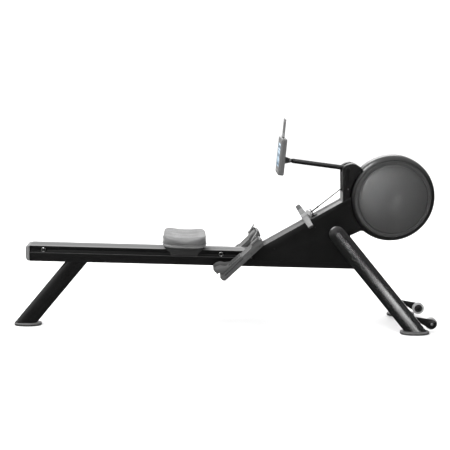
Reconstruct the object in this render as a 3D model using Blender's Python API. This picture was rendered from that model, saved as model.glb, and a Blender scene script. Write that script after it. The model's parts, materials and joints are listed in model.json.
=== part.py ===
"""Air-resistance rowing machine.

Metres, +Z up. +X points along the machine towards the fan, +Y is the rower's left when the rower
faces the fan. The origin is on the floor under the middle of the machine.
Every moving piece has its origin on its own joint axis.
"""

import math

import bmesh
import bpy
from mathutils import Matrix, Vector

# --- driving dimensions -----------------------------------------------------------------------
GAP = 0.0004                 # clearance between pieces that touch
SIDES = {"left": 1, "right": -1}

RAIL_TILT = math.radians(1.44)   # the rail falls towards the fan
RAIL_TOP = 0.4197                # height of the rail's top face above the origin
RAIL_REAR, RAIL_FRONT = -1.013, 0.700
RAIL_HALF, RAIL_DEPTH = 0.050, 0.082
CHANNEL_HALF, CHANNEL_TOP, CHANNEL_FLOOR = 0.040, -0.008, -0.034
RAIL_WALL = 0.004
STOP_RADIUS, STOP_W = 0.0115, -0.0205
STOP_REAR_U, STOP_FRONT_U = -0.9415, -0.019

LEG_WIDTH, LEG_THICKNESS = 0.091, 0.044
FOOT_TOP = 0.0150            # top of the steel foot plate
PAD_TOP = 0.0090             # top of the rubber sole
FRONT_LEG_TOP = Vector((0.5815, 0.0790, 0.5150))
FRONT_LEG_END = Vector((0.9975, 0.1580, FOOT_TOP + GAP))
REAR_LEG_TOP = Vector((-0.7700, 0.0, 0.3570))
REAR_LEG_END = Vector((-1.0550, 0.0, FOOT_TOP + GAP))
FRONT_FOOT_X, REAR_FOOT_X = 0.9950, -1.0450

WHEEL_AXIS = Vector((1.0862, 0.1340, 0.0470))
WHEEL_RADIUS, WHEEL_HALF = 0.032, 0.0110

PANEL_IN, PANEL_OUT = 0.0515, 0.0545
SPINE_START = (0.150, 0.4165)    # where the sloping top edge leaves the rail
SPINE_SLOPE = math.radians(29.9)

FAN_CENTRE = (0.8715, 0.6950)
FAN_RADIUS = 0.2260
FAN_SPLIT = 0.0003
DISC_RADIUS, RING_INNER, RING_OUTER = 0.1808, 0.1820, 0.2000

CORD_RADIUS = 0.0025
CORD_EXIT = Vector((0.6137, 0.0, 0.7465))
ROLLER_CENTRE = (0.6358, 0.7473)
ROLLER_GROOVE = 0.0100

HANDLE_CENTRE = Vector((0.4200, 0.0, 0.5945))
HANDLE_TIP = Vector((0.4165, 0.2830, 0.5965))
YOKE_TILT, YOKE_REACH = math.radians(33), 0.0380
GRIP_INNER_Y = 0.0370
BAR_HALF = (0.0080, 0.0030)      # the flat steel bar inside the grips

ARM_PIVOT = (0.6420, 0.8490)
TILT_PIVOT = (0.3340, 0.8890)
ARM_RADIUS = 0.0125
CONSOLE_TILT = math.radians(4.7)
CONSOLE_CORNER = (0.2673, 0.8200)    # bottom of the console's face
CONSOLE_HEIGHT, CONSOLE_DEPTH, CONSOLE_HALF = 0.1890, 0.0300, 0.0775

FOOTREST_ORIGIN = (-0.0057, 0.2770)  # underside of the footrest at the heel
FOOTREST_ANGLE = math.radians(44.0)
FOOTREST_LENGTH, FOOTREST_THICK = 0.2860, 0.0325
FOOTREST_IN, FOOTREST_OUT = 0.0580, 0.1500
CROSSBAR_AT, CROSSBAR_RADIUS = (0.120, 0.008), 0.0100

SEAT_U = -0.2115
SEAT_LENGTH, SEAT_WIDTH = 0.2350, 0.2800
SEAT_BASE_W, SEAT_PAD_W, SEAT_TOP_W = 0.0260, 0.0390, 0.0810
ROLLER_RADIUS, ROLLER_SPREAD = 0.0115, 0.0620


# --- frames -----------------------------------------------------------------------------------
def rail_point(u, w):
    """X and Z of a point u along the rail and w above its top face."""
    return (
        u * math.cos(RAIL_TILT) + w * math.sin(RAIL_TILT),
        RAIL_TOP - u * math.sin(RAIL_TILT) + w * math.cos(RAIL_TILT),
    )


def foot_point(along, above):
    """X and Z of a point along the footrest from its heel and above its underside."""
    c, s = math.cos(FOOTREST_ANGLE), math.sin(FOOTREST_ANGLE)
    return (FOOTREST_ORIGIN[0] + along * c - above * s, FOOTREST_ORIGIN[1] + along * s + above * c)


def console_point(up, back):
    """X and Z of a point up the console's face from its lower edge and back from the face."""
    c, s = math.cos(CONSOLE_TILT), math.sin(CONSOLE_TILT)
    return (CONSOLE_CORNER[0] + up * s + back * c, CONSOLE_CORNER[1] + up * c - back * s)


def arc(centre, radius, start, end, count):
    """Points of an arc in the XZ plane, angles in degrees from +X towards +Z."""
    steps = [math.radians(start + (end - start) * k / count) for k in range(count + 1)]
    return [(centre[0] + radius * math.cos(a), centre[1] + radius * math.sin(a)) for a in steps]


def rounded(corners, radius, count=4):
    """The outline with each corner replaced by an arc of this radius."""
    points = []
    for k, corner in enumerate(corners):
        here = Vector(corner)
        before = (Vector(corners[k - 1]) - here).normalized()
        after = (Vector(corners[(k + 1) % len(corners)]) - here).normalized()
        half = before.angle(after) / 2
        centre = here + (before + after).normalized() * radius / math.sin(half)
        first = here + before * radius / math.tan(half) - centre
        last = here + after * radius / math.tan(half) - centre
        for j in range(count + 1):
            spoke = first.lerp(last, j / count)
            points.append(tuple(centre + spoke.normalized() * radius))
    return points


# --- mesh tools -------------------------------------------------------------------------------
def material(name, grey, roughness, metallic=0.0):
    made = bpy.data.materials.get(name)
    if made is None:
        made = bpy.data.materials.new(name)
        made.use_nodes = True
        shader = made.node_tree.nodes["Principled BSDF"]
        colour = grey if isinstance(grey, tuple) else (grey, grey, grey)
        shader.inputs["Base Color"].default_value = (*colour, 1.0)
        shader.inputs["Roughness"].default_value = roughness
        shader.inputs["Metallic"].default_value = metallic
    return made


BLACK_PAINT = material("black_painted_steel", 0.012, 0.35)
SILVER = material("silver_anodised_aluminium", 0.55, 0.35, 0.9)
GREY_SHELL = material("light_grey_shell", 0.50, 0.45)
DARK_PLASTIC = material("dark_plastic", 0.035, 0.50)
GREY_PLASTIC = material("grey_plastic", 0.13, 0.50)
SATIN_METAL = material("satin_metal", 0.32, 0.30, 0.9)
RUBBER = material("rubber", 0.05, 0.80)
TYRE = material("grey_tyre", 0.35, 0.70)
STEEL = material("bright_steel", 0.60, 0.25, 1.0)
GRIP = material("grip", 0.42, 0.60)
VINYL = material("seat_vinyl", 0.36, 0.55)
WEBBING = material("webbing", 0.10, 0.85)
SCREEN = material("screen_glass", (0.45, 0.62, 0.70), 0.10)
CORD = material("cord", 0.40, 0.80)


def add(name, mesh, look, origin=(0.0, 0.0, 0.0)):
    """Makes the object from world-space geometry, with its origin at this point."""
    bmesh.ops.recalc_face_normals(mesh, faces=mesh.faces)
    bmesh.ops.translate(mesh, verts=mesh.verts, vec=-Vector(origin))
    data = bpy.data.meshes.new(name)
    mesh.to_mesh(data)
    mesh.free()
    data.materials.append(look)
    data.shade_smooth()
    data.set_sharp_from_angle(angle=math.radians(35))
    made = bpy.data.objects.new(name, data)
    made.location = origin
    bpy.context.scene.collection.objects.link(made)
    return made


def loft(rings):
    """A closed solid through rings of points; a ring of one point ends it in a tip."""
    mesh = bmesh.new()
    rows = [[mesh.verts.new(point) for point in ring] for ring in rings]
    for low, high in zip(rows, rows[1:]):
        size = max(len(low), len(high))
        for k in range(size):
            n = (k + 1) % size
            if len(low) == 1:
                mesh.faces.new((low[0], high[n], high[k]))
            elif len(high) == 1:
                mesh.faces.new((low[k], low[n], high[0]))
            else:
                mesh.faces.new((low[k], low[n], high[n], high[k]))
    for row in (rows[0], rows[-1]):
        if len(row) > 2:
            mesh.faces.new(row)
    return mesh


def prism(outline, y_low, y_high):
    """The XZ outline carried across from y_low to y_high."""
    return loft([[(x, y, z) for x, z in outline] for y in (y_low, y_high)])


def turned(profile, centre, steps):
    """The (radius, y) profile turned about the Y direction through this XZ centre."""
    mesh = bmesh.new()
    rows = []
    for radius, y in profile:
        if radius < 1e-9:
            rows.append([mesh.verts.new((centre[0], y, centre[1]))])
            continue
        rows.append([
            mesh.verts.new((x, y, z)) for x, z in arc(centre, radius, 0, 360, steps)[:-1]
        ])
    for low, high in zip(rows, rows[1:] + rows[:1]):
        if len(low) == len(high) == 1:
            continue
        for k in range(steps):
            n = (k + 1) % steps
            if len(low) == 1:
                mesh.faces.new((low[0], high[k], high[n]))
            elif len(high) == 1:
                mesh.faces.new((low[k], high[0], low[n]))
            else:
                mesh.faces.new((low[k], high[k], high[n], low[n]))
    return mesh


def rod(centre, radius, y_low, y_high, steps=20):
    return turned([(0, y_low), (radius, y_low), (radius, y_high), (0, y_high)], centre, steps)


def tube_between(start, end, rows, steps=16):
    """A turned solid along the line from start to end; rows are (distance, radius)."""
    start, end = Vector(start), Vector(end)
    axis = (end - start).normalized()
    across = axis.orthogonal().normalized()
    other = axis.cross(across)
    rings = []
    for distance, radius in rows:
        centre = start + axis * distance
        if radius < 1e-9:
            rings.append([centre])
            continue
        turn = [2 * math.pi * k / steps for k in range(steps)]
        rings.append([centre + radius * (across * math.cos(a) + other * math.sin(a)) for a in turn])
    return loft(rings)


def superellipse(half_u, half_v, count=24, power=2.6):
    """Points of a rounded oval about the origin."""
    points = []
    for k in range(count):
        c, s = math.cos(2 * math.pi * k / count), math.sin(2 * math.pi * k / count)
        points.append((
            half_u * math.copysign(abs(c) ** (2 / power), c),
            half_v * math.copysign(abs(s) ** (2 / power), s),
        ))
    return points


def combine(target, mesh, operation):
    """Adds a hidden helper made from this mesh to the object as a Boolean."""
    name = f"{target.name}_{operation.lower()}_{len(target.modifiers)}"
    helper = add(name, mesh, target.data.materials[0])
    helper.hide_render = True
    helper.display_type = "WIRE"
    boolean = target.modifiers.new(helper.name, "BOOLEAN")
    boolean.operation = operation
    boolean.object = helper
    return target


def cut(target, mesh):
    return combine(target, mesh, "DIFFERENCE")


def join(target, mesh):
    return combine(target, mesh, "UNION")


def mirrored(side, low, high):
    """The y range of a piece on this side, lowest first."""
    return sorted((side * low, side * high))


# --- rail and its supports --------------------------------------------------------------------
def make_rail():
    section = [
        (-RAIL_HALF, 0), (RAIL_HALF, 0), (RAIL_HALF, CHANNEL_TOP), (CHANNEL_HALF, CHANNEL_TOP),
        (CHANNEL_HALF, CHANNEL_FLOOR), (RAIL_HALF, CHANNEL_FLOOR), (RAIL_HALF, -0.068),
        (RAIL_HALF - 0.0008, -0.070), (RAIL_HALF - 0.0008, -RAIL_DEPTH),
    ]
    section += [(-y, w) for y, w in reversed(section[2:])]
    rings = []
    for u in (RAIL_REAR, RAIL_FRONT):
        rings.append([(rail_point(u, w)[0], y, rail_point(u, w)[1]) for y, w in section])
    rail = add("rail", loft(rings), SILVER)
    hollow_half = CHANNEL_HALF - RAIL_WALL
    corners = [(RAIL_REAR - 0.01, CHANNEL_TOP), (RAIL_FRONT + 0.01, CHANNEL_TOP),
               (RAIL_FRONT + 0.01, RAIL_WALL - RAIL_DEPTH), (RAIL_REAR - 0.01, RAIL_WALL - RAIL_DEPTH)]
    cut(rail, prism([rail_point(u, w) for u, w in corners], -hollow_half, hollow_half))
    for u in (STOP_REAR_U, STOP_FRONT_U):
        cut(rail, rod(rail_point(u, STOP_W), 0.004 + GAP, -0.06, 0.06, 16))
    cut(rail, rod(foot_point(*CROSSBAR_AT), CROSSBAR_RADIUS + GAP, -0.06, 0.06, 20))


def make_rail_stop(name, u):
    """A bolt through the rail's webs with a rubber bumper in each side channel."""
    inner, outer = CHANNEL_HALF + GAP, RAIL_HALF
    half = [(0, outer), (0.004, outer), (0.004, outer - 0.002), (STOP_RADIUS, outer - 0.002),
            (STOP_RADIUS, inner), (0.004, inner)]
    profile = half + [(radius, -y) for radius, y in reversed(half)]
    add(name, turned(profile, rail_point(u, STOP_W), 14), RUBBER)


def make_rail_end_cap():
    corners = [(RAIL_REAR - GAP, -0.001), (RAIL_REAR - GAP, -RAIL_DEPTH), (-1.021, -RAIL_DEPTH),
               (-1.030, -0.075), (-1.034, -0.062), (-1.0345, -0.040), (-1.033, -0.012), (-1.029, -0.001)]
    add("rail_end_cap", prism([rail_point(u, w) for u, w in corners], -RAIL_HALF, RAIL_HALF), GREY_PLASTIC)


def make_foot(name, x, y, length, width):
    """A steel plate with a rubber sole under it; the leg stands on the plate."""
    outline = [(x + a, y + b) for a, b in superellipse(length / 2, width / 2, 28, 2.3)]
    sole = [(x + a, y + b) for a, b in superellipse(length / 2 - 0.003, width / 2 - 0.003, 28, 2.3)]
    rows = [(sole, 0.0), (outline, 0.0025), (outline, PAD_TOP)]
    add(f"{name}_pad", loft([[(px, py, z) for px, py in ring] for ring, z in rows]), RUBBER)
    rows = [(outline, PAD_TOP + GAP), (outline, FOOT_TOP - 0.002), (sole, FOOT_TOP)]
    add(name, loft([[(px, py, z) for px, py in ring] for ring, z in rows]), GREY_SHELL)


def leg_rings(top, end, flat_top=None):
    """Oval rings of a leg: cut level at its foot, and domed at its top or cut along flat_top."""
    axis = (end - top).normalized()
    along_y = Vector((0, 1, 0)) - axis * axis.y
    along_y.normalize()
    across = along_y.cross(axis)
    section = [across * u + along_y * v for u, v in superellipse(LEG_WIDTH / 2, LEG_THICKNESS / 2)]

    def onto(point, normal, through):
        return point + axis * ((through - point).dot(normal) / axis.dot(normal))

    rings = [[onto(end + spoke, Vector((0, 0, 1)), end) for spoke in section]]
    if flat_top is not None:
        return rings + [[onto(top + spoke, flat_top, top) for spoke in section]]
    rings.append([top + spoke for spoke in section])
    for step in range(1, 6):
        turn = math.radians(90 * step / 6)
        centre = top - axis * (LEG_WIDTH / 2 * math.sin(turn))
        rings.append([centre + spoke * math.cos(turn) for spoke in section])
    return rings + [[top - axis * (LEG_WIDTH / 2)]]


def make_supports():
    up = Vector((math.sin(RAIL_TILT), 0, math.cos(RAIL_TILT)))
    x, z = rail_point(REAR_LEG_TOP.x, -RAIL_DEPTH - GAP)
    add("rear_leg", loft(leg_rings(Vector((x, 0, z)), REAR_LEG_END, up)), BLACK_PAINT)
    make_foot("rear_foot", REAR_FOOT_X, 0.0, 0.146, 0.070)
    for word, side in SIDES.items():
        turn = Vector((1, side, 1))
        rings = leg_rings(FRONT_LEG_TOP * turn, FRONT_LEG_END * turn)
        add(f"front_leg_{word}", loft(rings), BLACK_PAINT)
        make_foot(f"front_foot_{word}", FRONT_FOOT_X, side * 0.160, 0.154, 0.076)


def leg_front_x(z):
    """X of the front leg's forward surface at this height."""
    lean = (FRONT_LEG_END.x - FRONT_LEG_TOP.x) / (FRONT_LEG_TOP.z - FRONT_LEG_END.z)
    level_half = LEG_WIDTH / 2 * math.hypot(1, lean)
    return FRONT_LEG_END.x + level_half - (z - FRONT_LEG_END.z) * lean


def make_wheels():
    axis = (WHEEL_AXIS.x, WHEEL_AXIS.z)
    wheel = [(0.0054, -WHEEL_HALF), (0.0100, -WHEEL_HALF), (0.0120, -0.005), (0.0210, -0.005),
             (0.0225, -0.0100), (0.0290, -WHEEL_HALF), (WHEEL_RADIUS, -0.0070),
             (WHEEL_RADIUS, 0.0070), (0.0290, WHEEL_HALF), (0.0225, 0.0100), (0.0210, 0.005),
             (0.0120, 0.005), (0.0100, WHEEL_HALF), (0.0054, WHEEL_HALF)]
    for word, side in SIDES.items():
        y = side * WHEEL_AXIS.y
        add(f"transport_wheel_{word}", turned([(r, y + dy) for r, dy in wheel], axis, 20), TYRE,
            (axis[0], y, axis[1]))
        outline = [(leg_front_x(z) + 0.001, z) for z in (0.0535, 0.0890)]
        outline += arc(axis, 0.0255, 78, -112, 12)
        low, high = mirrored(side, WHEEL_AXIS.y + 0.0135, WHEEL_AXIS.y + 0.0195)
        bracket = add(f"wheel_bracket_{word}", prism(outline, low, high), BLACK_PAINT)
        inner, outer = WHEEL_AXIS.y - 0.0145, WHEEL_AXIS.y + 0.0165
        stub = [(0, inner), (0.0090, inner), (0.0090, inner + 0.0030), (0.0050, inner + 0.0030),
                (0.0050, outer), (0, outer)]
        join(bracket, turned([(r, side * dy) for r, dy in stub], axis, 12))


# --- body -------------------------------------------------------------------------------------
def spine_z(x):
    return SPINE_START[1] + (x - SPINE_START[0]) * math.tan(SPINE_SLOPE)


def fan_edge(radius, z):
    """X where a circle round the fan's axle crosses this height, on the rower's side."""
    return FAN_CENTRE[0] - math.sqrt(radius ** 2 - (z - FAN_CENTRE[1]) ** 2)


def make_body():
    hug = FAN_RADIUS - 0.0060
    outline = [rail_point(0.150, -0.050), SPINE_START, (0.640, spine_z(0.640))]
    outline += arc(FAN_CENTRE, hug, 177, 233, 11)
    outline += [(0.7330, 0.5215), (0.7200, 0.5262), (0.7100, 0.5268), (0.6550, 0.5015), (0.6860, 0.4300),
                rail_point(0.695, -0.050)]
    for word, side in SIDES.items():
        low, high = mirrored(side, PANEL_IN, PANEL_OUT)
        add(f"side_panel_{word}", prism(outline, low, high), BLACK_PAINT)
    half = PANEL_IN - GAP
    start, end = SPINE_START[0] + 0.006, 0.6080
    thick = 0.0045
    cover = [(start, spine_z(start)), (end, spine_z(end)), (end, spine_z(end) - thick),
             (start + 0.008, spine_z(start + 0.008) - thick)]
    add("top_cover", prism(cover, -half, half), BLACK_PAINT)


def make_mast():
    hug = FAN_RADIUS + 0.0012
    half = 0.0500
    outline = [(0.6135, 0.6000), (0.6125, 0.6900), (0.6060, 0.8420)]
    outline += [(0.6062, 0.8500), (0.6105, 0.8590), (0.6190, 0.8670), (0.6300, 0.8735), (0.6430, 0.8775),
                (0.6560, 0.8785), (0.6690, 0.8755), (0.6850, 0.8680), (0.6980, 0.8600)]
    outline += [(fan_edge(hug, 0.8500), 0.8500)]
    outline += arc(FAN_CENTRE, hug, 138, 212, 16)
    outline += [(0.6300, 0.5750)]
    mast = add("mast", prism(outline, -half, half), BLACK_PAINT)
    room = [(0.6175, 0.5600), (0.6165, 0.6900), (0.6110, 0.8400)]
    room += [(0.6150, 0.8540), (0.6230, 0.8620), (0.6350, 0.8688), (0.6450, 0.8722), (0.6560, 0.8735),
             (0.6680, 0.8708), (0.6830, 0.8630)]
    room += [(0.7600, 0.8300), (0.7600, 0.5600)]
    cut(mast, prism(room, 0.0045 - half, half - 0.0045))
    slot = [(0.5900, 0.8290), (0.6560, 0.8290), (0.6560, 0.9000), (0.5900, 0.9000)]
    cut(mast, prism(slot, -0.0150, 0.0150))
    exit_bore = tube_between(CORD_EXIT - Vector((0.02, 0, 0)), CORD_EXIT + Vector((0.02, 0, 0)),
                             [(0, 0.0126), (0.04, 0.0126)], 20)
    cut(mast, exit_bore)
    cut(mast, rod(ROLLER_CENTRE, 0.0040 + GAP, -0.06, 0.06, 12))
    cut(mast, rod(ARM_PIVOT, 0.0040 + GAP, -0.06, 0.06, 12))


def make_grommet():
    start = CORD_EXIT + Vector((-0.0085, 0, 0))
    grommet = add("cord_grommet", tube_between(start, CORD_EXIT + Vector((0.01, 0, 0)),
                  [(0, 0.0140), (0.0036, 0.0152), (0.0036, 0.0122), (0.0120, 0.0122)], 24), RUBBER)
    bore = tube_between(CORD_EXIT - Vector((0.02, 0, 0)), CORD_EXIT + Vector((0.02, 0, 0)),
                        [(0, 0.0150), (0.020, 0.0085), (0.04, 0.0085)], 20)
    cut(grommet, bore)


# --- fan --------------------------------------------------------------------------------------
def make_fan():
    shell = [
        (FAN_RADIUS, FAN_SPLIT), (FAN_RADIUS, 0.0180), (0.2237, 0.0300), (0.2180, 0.0415),
        (0.2100, 0.0495), (0.2030, 0.0530), (0.1700, 0.0530), (0.1700, 0.0500), (0.2015, 0.0500),
        (0.2075, 0.0470), (0.2152, 0.0390), (0.2206, 0.0285), (0.2228, 0.0180), (0.2228, FAN_SPLIT),
    ]
    ring = [(RING_INNER, 0.0534), (RING_OUTER, 0.0534), (RING_OUTER, 0.0560), (RING_OUTER - 0.0020, 0.0578),
            (RING_INNER + 0.0020, 0.0578), (RING_INNER, 0.0565)]
    disc = [(0, 0.0602), (0.0600, 0.0600), (0.1300, 0.0592), (0.1690, 0.0580), (DISC_RADIUS, 0.0560),
            (DISC_RADIUS, 0.0534), (0.0180, 0.0534), (0.0180, 0.0470), (0.0107, 0.0470),
            (0.0107, 0.0528), (0, 0.0528)]
    notch = [(0.6300, 0.7440), (0.6300, 0.7720), (0.6760, 0.7680), (0.6760, 0.7400)]
    for word, side in SIDES.items():
        mesh = turned([(r, side * y) for r, y in shell], FAN_CENTRE, 44)
        piece = add(f"fan_shell_{word}", mesh, BLACK_PAINT)
        cut(piece, prism(notch, -0.0080, 0.0080))
        add(f"cover_ring_{word}", turned([(r, side * y) for r, y in ring], FAN_CENTRE, 36), DARK_PLASTIC)
        add(f"cover_disc_{word}", turned([(r, side * y) for r, y in disc], FAN_CENTRE, 36), SATIN_METAL)
    origin = (FAN_CENTRE[0], 0, FAN_CENTRE[1])
    add("fan_axle", rod(FAN_CENTRE, 0.0100, -0.0524, 0.0524, 20), STEEL)
    blades, outer, inner = 20, 0.1560, 0.0950
    outline = []
    for k in range(blades):
        step = 360 / blades
        for radius, turn in ((inner, 0.0), (outer, 0.18), (outer, 0.30), (inner, 0.52)):
            outline += arc(FAN_CENTRE, radius, (k + turn) * step, 0, 1)[:1]
    wheel = add("fan_wheel", prism(outline, 0.0120, 0.0440), DARK_PLASTIC, origin)
    cut(wheel, rod(FAN_CENTRE, 0.0104, 0.0, 0.06, 20))
    reel = [(0.0104, -0.0300), (0.0240, -0.0300), (0.0240, -0.0085), (0.0400, -0.0085),
            (0.0400, -0.0065), (0.0300, -0.0050), (0.0300, 0.0050), (0.0400, 0.0065),
            (0.0400, 0.0085), (0.0104, 0.0085)]
    add("cord_reel", turned(reel, FAN_CENTRE, 20), STEEL, origin)


# --- cord -------------------------------------------------------------------------------------
def cord_direction():
    nose = HANDLE_CENTRE + YOKE_REACH * Vector((math.cos(YOKE_TILT), 0, math.sin(YOKE_TILT)))
    return nose, (CORD_EXIT - nose).normalized()


def make_cord():
    """The pull cord in two runs: handle to mast, and mast over the guide roller to the reel."""
    nose, pull = cord_direction()
    start, end = nose + pull * GAP, CORD_EXIT
    add("pull_cord", tube_between(start, end, [(0, CORD_RADIUS), ((end - start).length, CORD_RADIUS)], 10),
        CORD, CORD_EXIT)
    radius = ROLLER_GROOVE + CORD_RADIUS + GAP
    rise = math.degrees(math.atan2(pull.z, pull.x))
    reel_top = Vector((FAN_CENTRE[0], 0, FAN_CENTRE[1] + 0.0300 + CORD_RADIUS + 0.0010))
    fall = math.degrees(math.atan2(reel_top.z - ROLLER_CENTRE[1] - radius, reel_top.x - ROLLER_CENTRE[0]))
    route = [CORD_EXIT + pull * GAP]
    route += [Vector((x, 0, z)) for x, z in arc(ROLLER_CENTRE, radius, 90 + rise, 90 + fall, 6)]
    route += [route[-1].lerp(reel_top, 0.5), reel_top]
    curve = bpy.data.curves.new("inner_cord", "CURVE")
    curve.dimensions = "3D"
    curve.bevel_depth = CORD_RADIUS
    curve.bevel_resolution = 2
    curve.use_fill_caps = True
    curve.materials.append(CORD)
    spline = curve.splines.new("POLY")
    spline.points.add(len(route) - 1)
    for point, place in zip(spline.points, route):
        point.co = (*place, 1)
    bpy.context.scene.collection.objects.link(bpy.data.objects.new("inner_cord", curve))
    groove = [(0, -0.0480), (0.0040, -0.0480), (0.0040, -0.0070), (0.0125, -0.0070),
              (0.0125, -0.0055), (ROLLER_GROOVE, -0.0035)]
    profile = groove + [(r, -y) for r, y in reversed(groove)]
    add("guide_roller", turned(profile, ROLLER_CENTRE, 14), DARK_PLASTIC,
        (ROLLER_CENTRE[0], 0, ROLLER_CENTRE[1]))


# --- handle -----------------------------------------------------------------------------------
def make_handle():
    """Two flat oval grips on a steel bar, with a bow-shaped yoke between them; the cord pulls its nose."""
    reach = Vector((math.cos(YOKE_TILT), 0, math.sin(YOKE_TILT)))
    up = Vector((-math.sin(YOKE_TILT), 0, math.cos(YOKE_TILT)))

    def section(centre, half_reach, half_up, count=20):
        return [centre + reach * s + up * t for s, t in superellipse(half_reach, half_up, count, 2.8)]

    half = [(YOKE_REACH, 0.0), (0.0374, 0.0180), (0.0354, 0.0350), (0.0322, 0.0500), (0.0280, 0.0620),
            (0.0248, 0.0672), (0.0212, 0.0660), (0.0226, 0.0560), (0.0222, 0.0460), (0.0190, 0.0380),
            (0.0150, 0.0335), (0.0080, 0.0325), (-0.0120, 0.0325), (-0.0165, 0.0290), (-0.0180, 0.0)]
    outline = half + [(s, -y) for s, y in half[-2:0:-1]]
    rings = []
    for lift, shrink in ((-0.0095, 0.93), (-0.0070, 1.0), (0.0070, 1.0), (0.0095, 0.93)):
        rings.append([HANDLE_CENTRE + reach * (s * shrink) + up * lift + Vector((0, y * shrink, 0))
                      for s, y in outline])
    yoke = add("handle_yoke", loft(rings), GRIP, HANDLE_CENTRE)
    for word, side in SIDES.items():
        tip = HANDLE_TIP * Vector((1, side, 1))

        def along(y):
            return HANDLE_CENTRE.lerp(tip, y / HANDLE_TIP.y)

        join(yoke, loft([section(along(y), *BAR_HALF, 12) for y in (0.0200, HANDLE_TIP.y - 0.0060)]))
        rows = [(GRIP_INNER_Y, 0.0155, 0.0046), (GRIP_INNER_Y + 0.0020, 0.0172, 0.0060),
                (0.0900, 0.0160, 0.0060), (0.1800, 0.0142, 0.0056), (HANDLE_TIP.y - 0.0012, 0.0130, 0.0052),
                (HANDLE_TIP.y, 0.0122, 0.0046)]
        grip = add(f"handle_grip_{word}", loft([section(along(y), a, b) for y, a, b in rows]), GRIP,
                   HANDLE_CENTRE)
        bore = [section(along(y), BAR_HALF[0] + GAP, BAR_HALF[1] + GAP, 12)
                for y in (GRIP_INNER_Y - 0.0150, HANDLE_TIP.y - 0.0060 + GAP)]
        cut(grip, loft(bore))


def make_handle_rest():
    """A hook on the top cover that the yoke's nose is pulled into; its slot lets the cord through."""
    centre = (HANDLE_CENTRE.x + 0.0085, HANDLE_CENTRE.z + 0.0060)
    inner, outer = 0.0330, 0.0370
    outline = arc(centre, inner, 60, 2, 8)
    foot = ((0.4600, 0.0040), (0.4540, GAP), (0.4860, GAP), (0.4790, 0.0040))
    outline += [(x, spine_z(x) + lift) for x, lift in foot]
    outline += arc(centre, outer, 8, 60, 8)
    rest = add("handle_rest", prism(outline, -0.0200, 0.0200), BLACK_PAINT)
    slot = [(0.4300, 0.5960), (0.4500, 0.6010), (0.5000, 0.6010), (0.5000, 0.6800), (0.4300, 0.6800)]
    cut(rest, prism(slot, -0.0060, 0.0060))


# --- console ----------------------------------------------------------------------------------
def make_console():
    pivot = Vector((TILT_PIVOT[0], 0, TILT_PIVOT[1]))
    mast_end = Vector((ARM_PIVOT[0], 0, ARM_PIVOT[1]))
    along = (mast_end - pivot).normalized()
    start, end = pivot + along * 0.0125, mast_end - along * 0.0060
    length = (end - start).length
    tube = tube_between(start, end, [(0, 0.0105), (0.003, ARM_RADIUS), (length, ARM_RADIUS)], 20)
    arm = add("console_arm", tube, BLACK_PAINT, mast_end)
    eye = arc(TILT_PIVOT, 0.0100, 90, 270, 8) + [(TILT_PIVOT[0] + 0.018, TILT_PIVOT[1] - 0.0105),
                                                 (TILT_PIVOT[0] + 0.018, TILT_PIVOT[1] + 0.0075)]
    join(arm, prism(eye, -0.0080, 0.0080))
    join(arm, rod(ARM_PIVOT, 0.0125, -0.0125, 0.0125, 20))
    cut(arm, rod(TILT_PIVOT, 0.0040 + GAP, -0.02, 0.02, 12))
    cut(arm, rod(ARM_PIVOT, 0.0040 + GAP, -0.02, 0.02, 12))
    add("arm_pin", rod(ARM_PIVOT, 0.0040, -0.0520, 0.0520, 12), STEEL)

    corners = ((0, 0), (0, CONSOLE_DEPTH), (CONSOLE_HEIGHT, CONSOLE_DEPTH - 0.004), (CONSOLE_HEIGHT, 0))
    outline = rounded([console_point(up, back) for up, back in corners], 0.006, 3)
    case = add("console_case", prism(outline, -CONSOLE_HALF, CONSOLE_HALF), DARK_PLASTIC, pivot)
    window = ((0.040, -0.01), (0.040, 0.003), (0.160, 0.003), (0.160, -0.01))
    cut(case, prism([console_point(up, back) for up, back in window], -0.0580, 0.0580))
    glass = ((0.0405, 0.0005), (0.0405, 0.0026), (0.1595, 0.0026), (0.1595, 0.0005))
    glass = [console_point(up, back) for up, back in glass]
    add("console_screen", prism(glass, -0.0575, 0.0575), SCREEN, pivot)
    face_x, face_z = console_point(0.020, -0.0020)
    front = Vector((face_x, 0, face_z))
    inward = Vector((math.cos(CONSOLE_TILT), 0, -math.sin(CONSOLE_TILT)))
    cut(case, tube_between(front - inward * 0.01, front + inward * 0.01, [(0, 0.0104), (0.020, 0.0104)], 20))
    button = tube_between(front, front + inward, [(0, 0.0085), (0.001, 0.0100), (0.0078, 0.0100)], 20)
    add("console_button", button, GREY_SHELL, front)
    depth = CONSOLE_DEPTH
    back_plate = [(0.041, depth + GAP), (0.041, depth + 0.004), (0.101, depth + 0.004),
                  (0.101, depth - 0.0021 + GAP)]
    back_plate = [console_point(*p) for p in back_plate]
    bracket = add("console_bracket", prism(back_plate, -0.0250, 0.0250), DARK_PLASTIC, pivot)
    for y in (-0.0115, 0.0115):
        ear = [console_point(0.055, CONSOLE_DEPTH + 0.001), console_point(0.092, CONSOLE_DEPTH + 0.001)]
        ear = [ear[0]] + arc(TILT_PIVOT, 0.0100, -80, 80, 8) + [ear[1]]
        join(bracket, prism(ear, y - 0.0028, y + 0.0028))
    cut(bracket, rod(TILT_PIVOT, 0.0040 + GAP, -0.03, 0.03, 12))
    add("console_pin", rod(TILT_PIVOT, 0.0040, -0.0160, 0.0160, 12), STEEL)
    top = CONSOLE_HEIGHT + GAP
    plate = [(top, 0.0130), (top + 0.006, 0.0080), (top + 0.009, 0.0130), (top + 0.096, 0.0130),
             (top + 0.096, 0.0165), (top, 0.0165)]
    add("phone_holder", prism([console_point(*p) for p in plate], -0.0450, 0.0450), DARK_PLASTIC, pivot)


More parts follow.
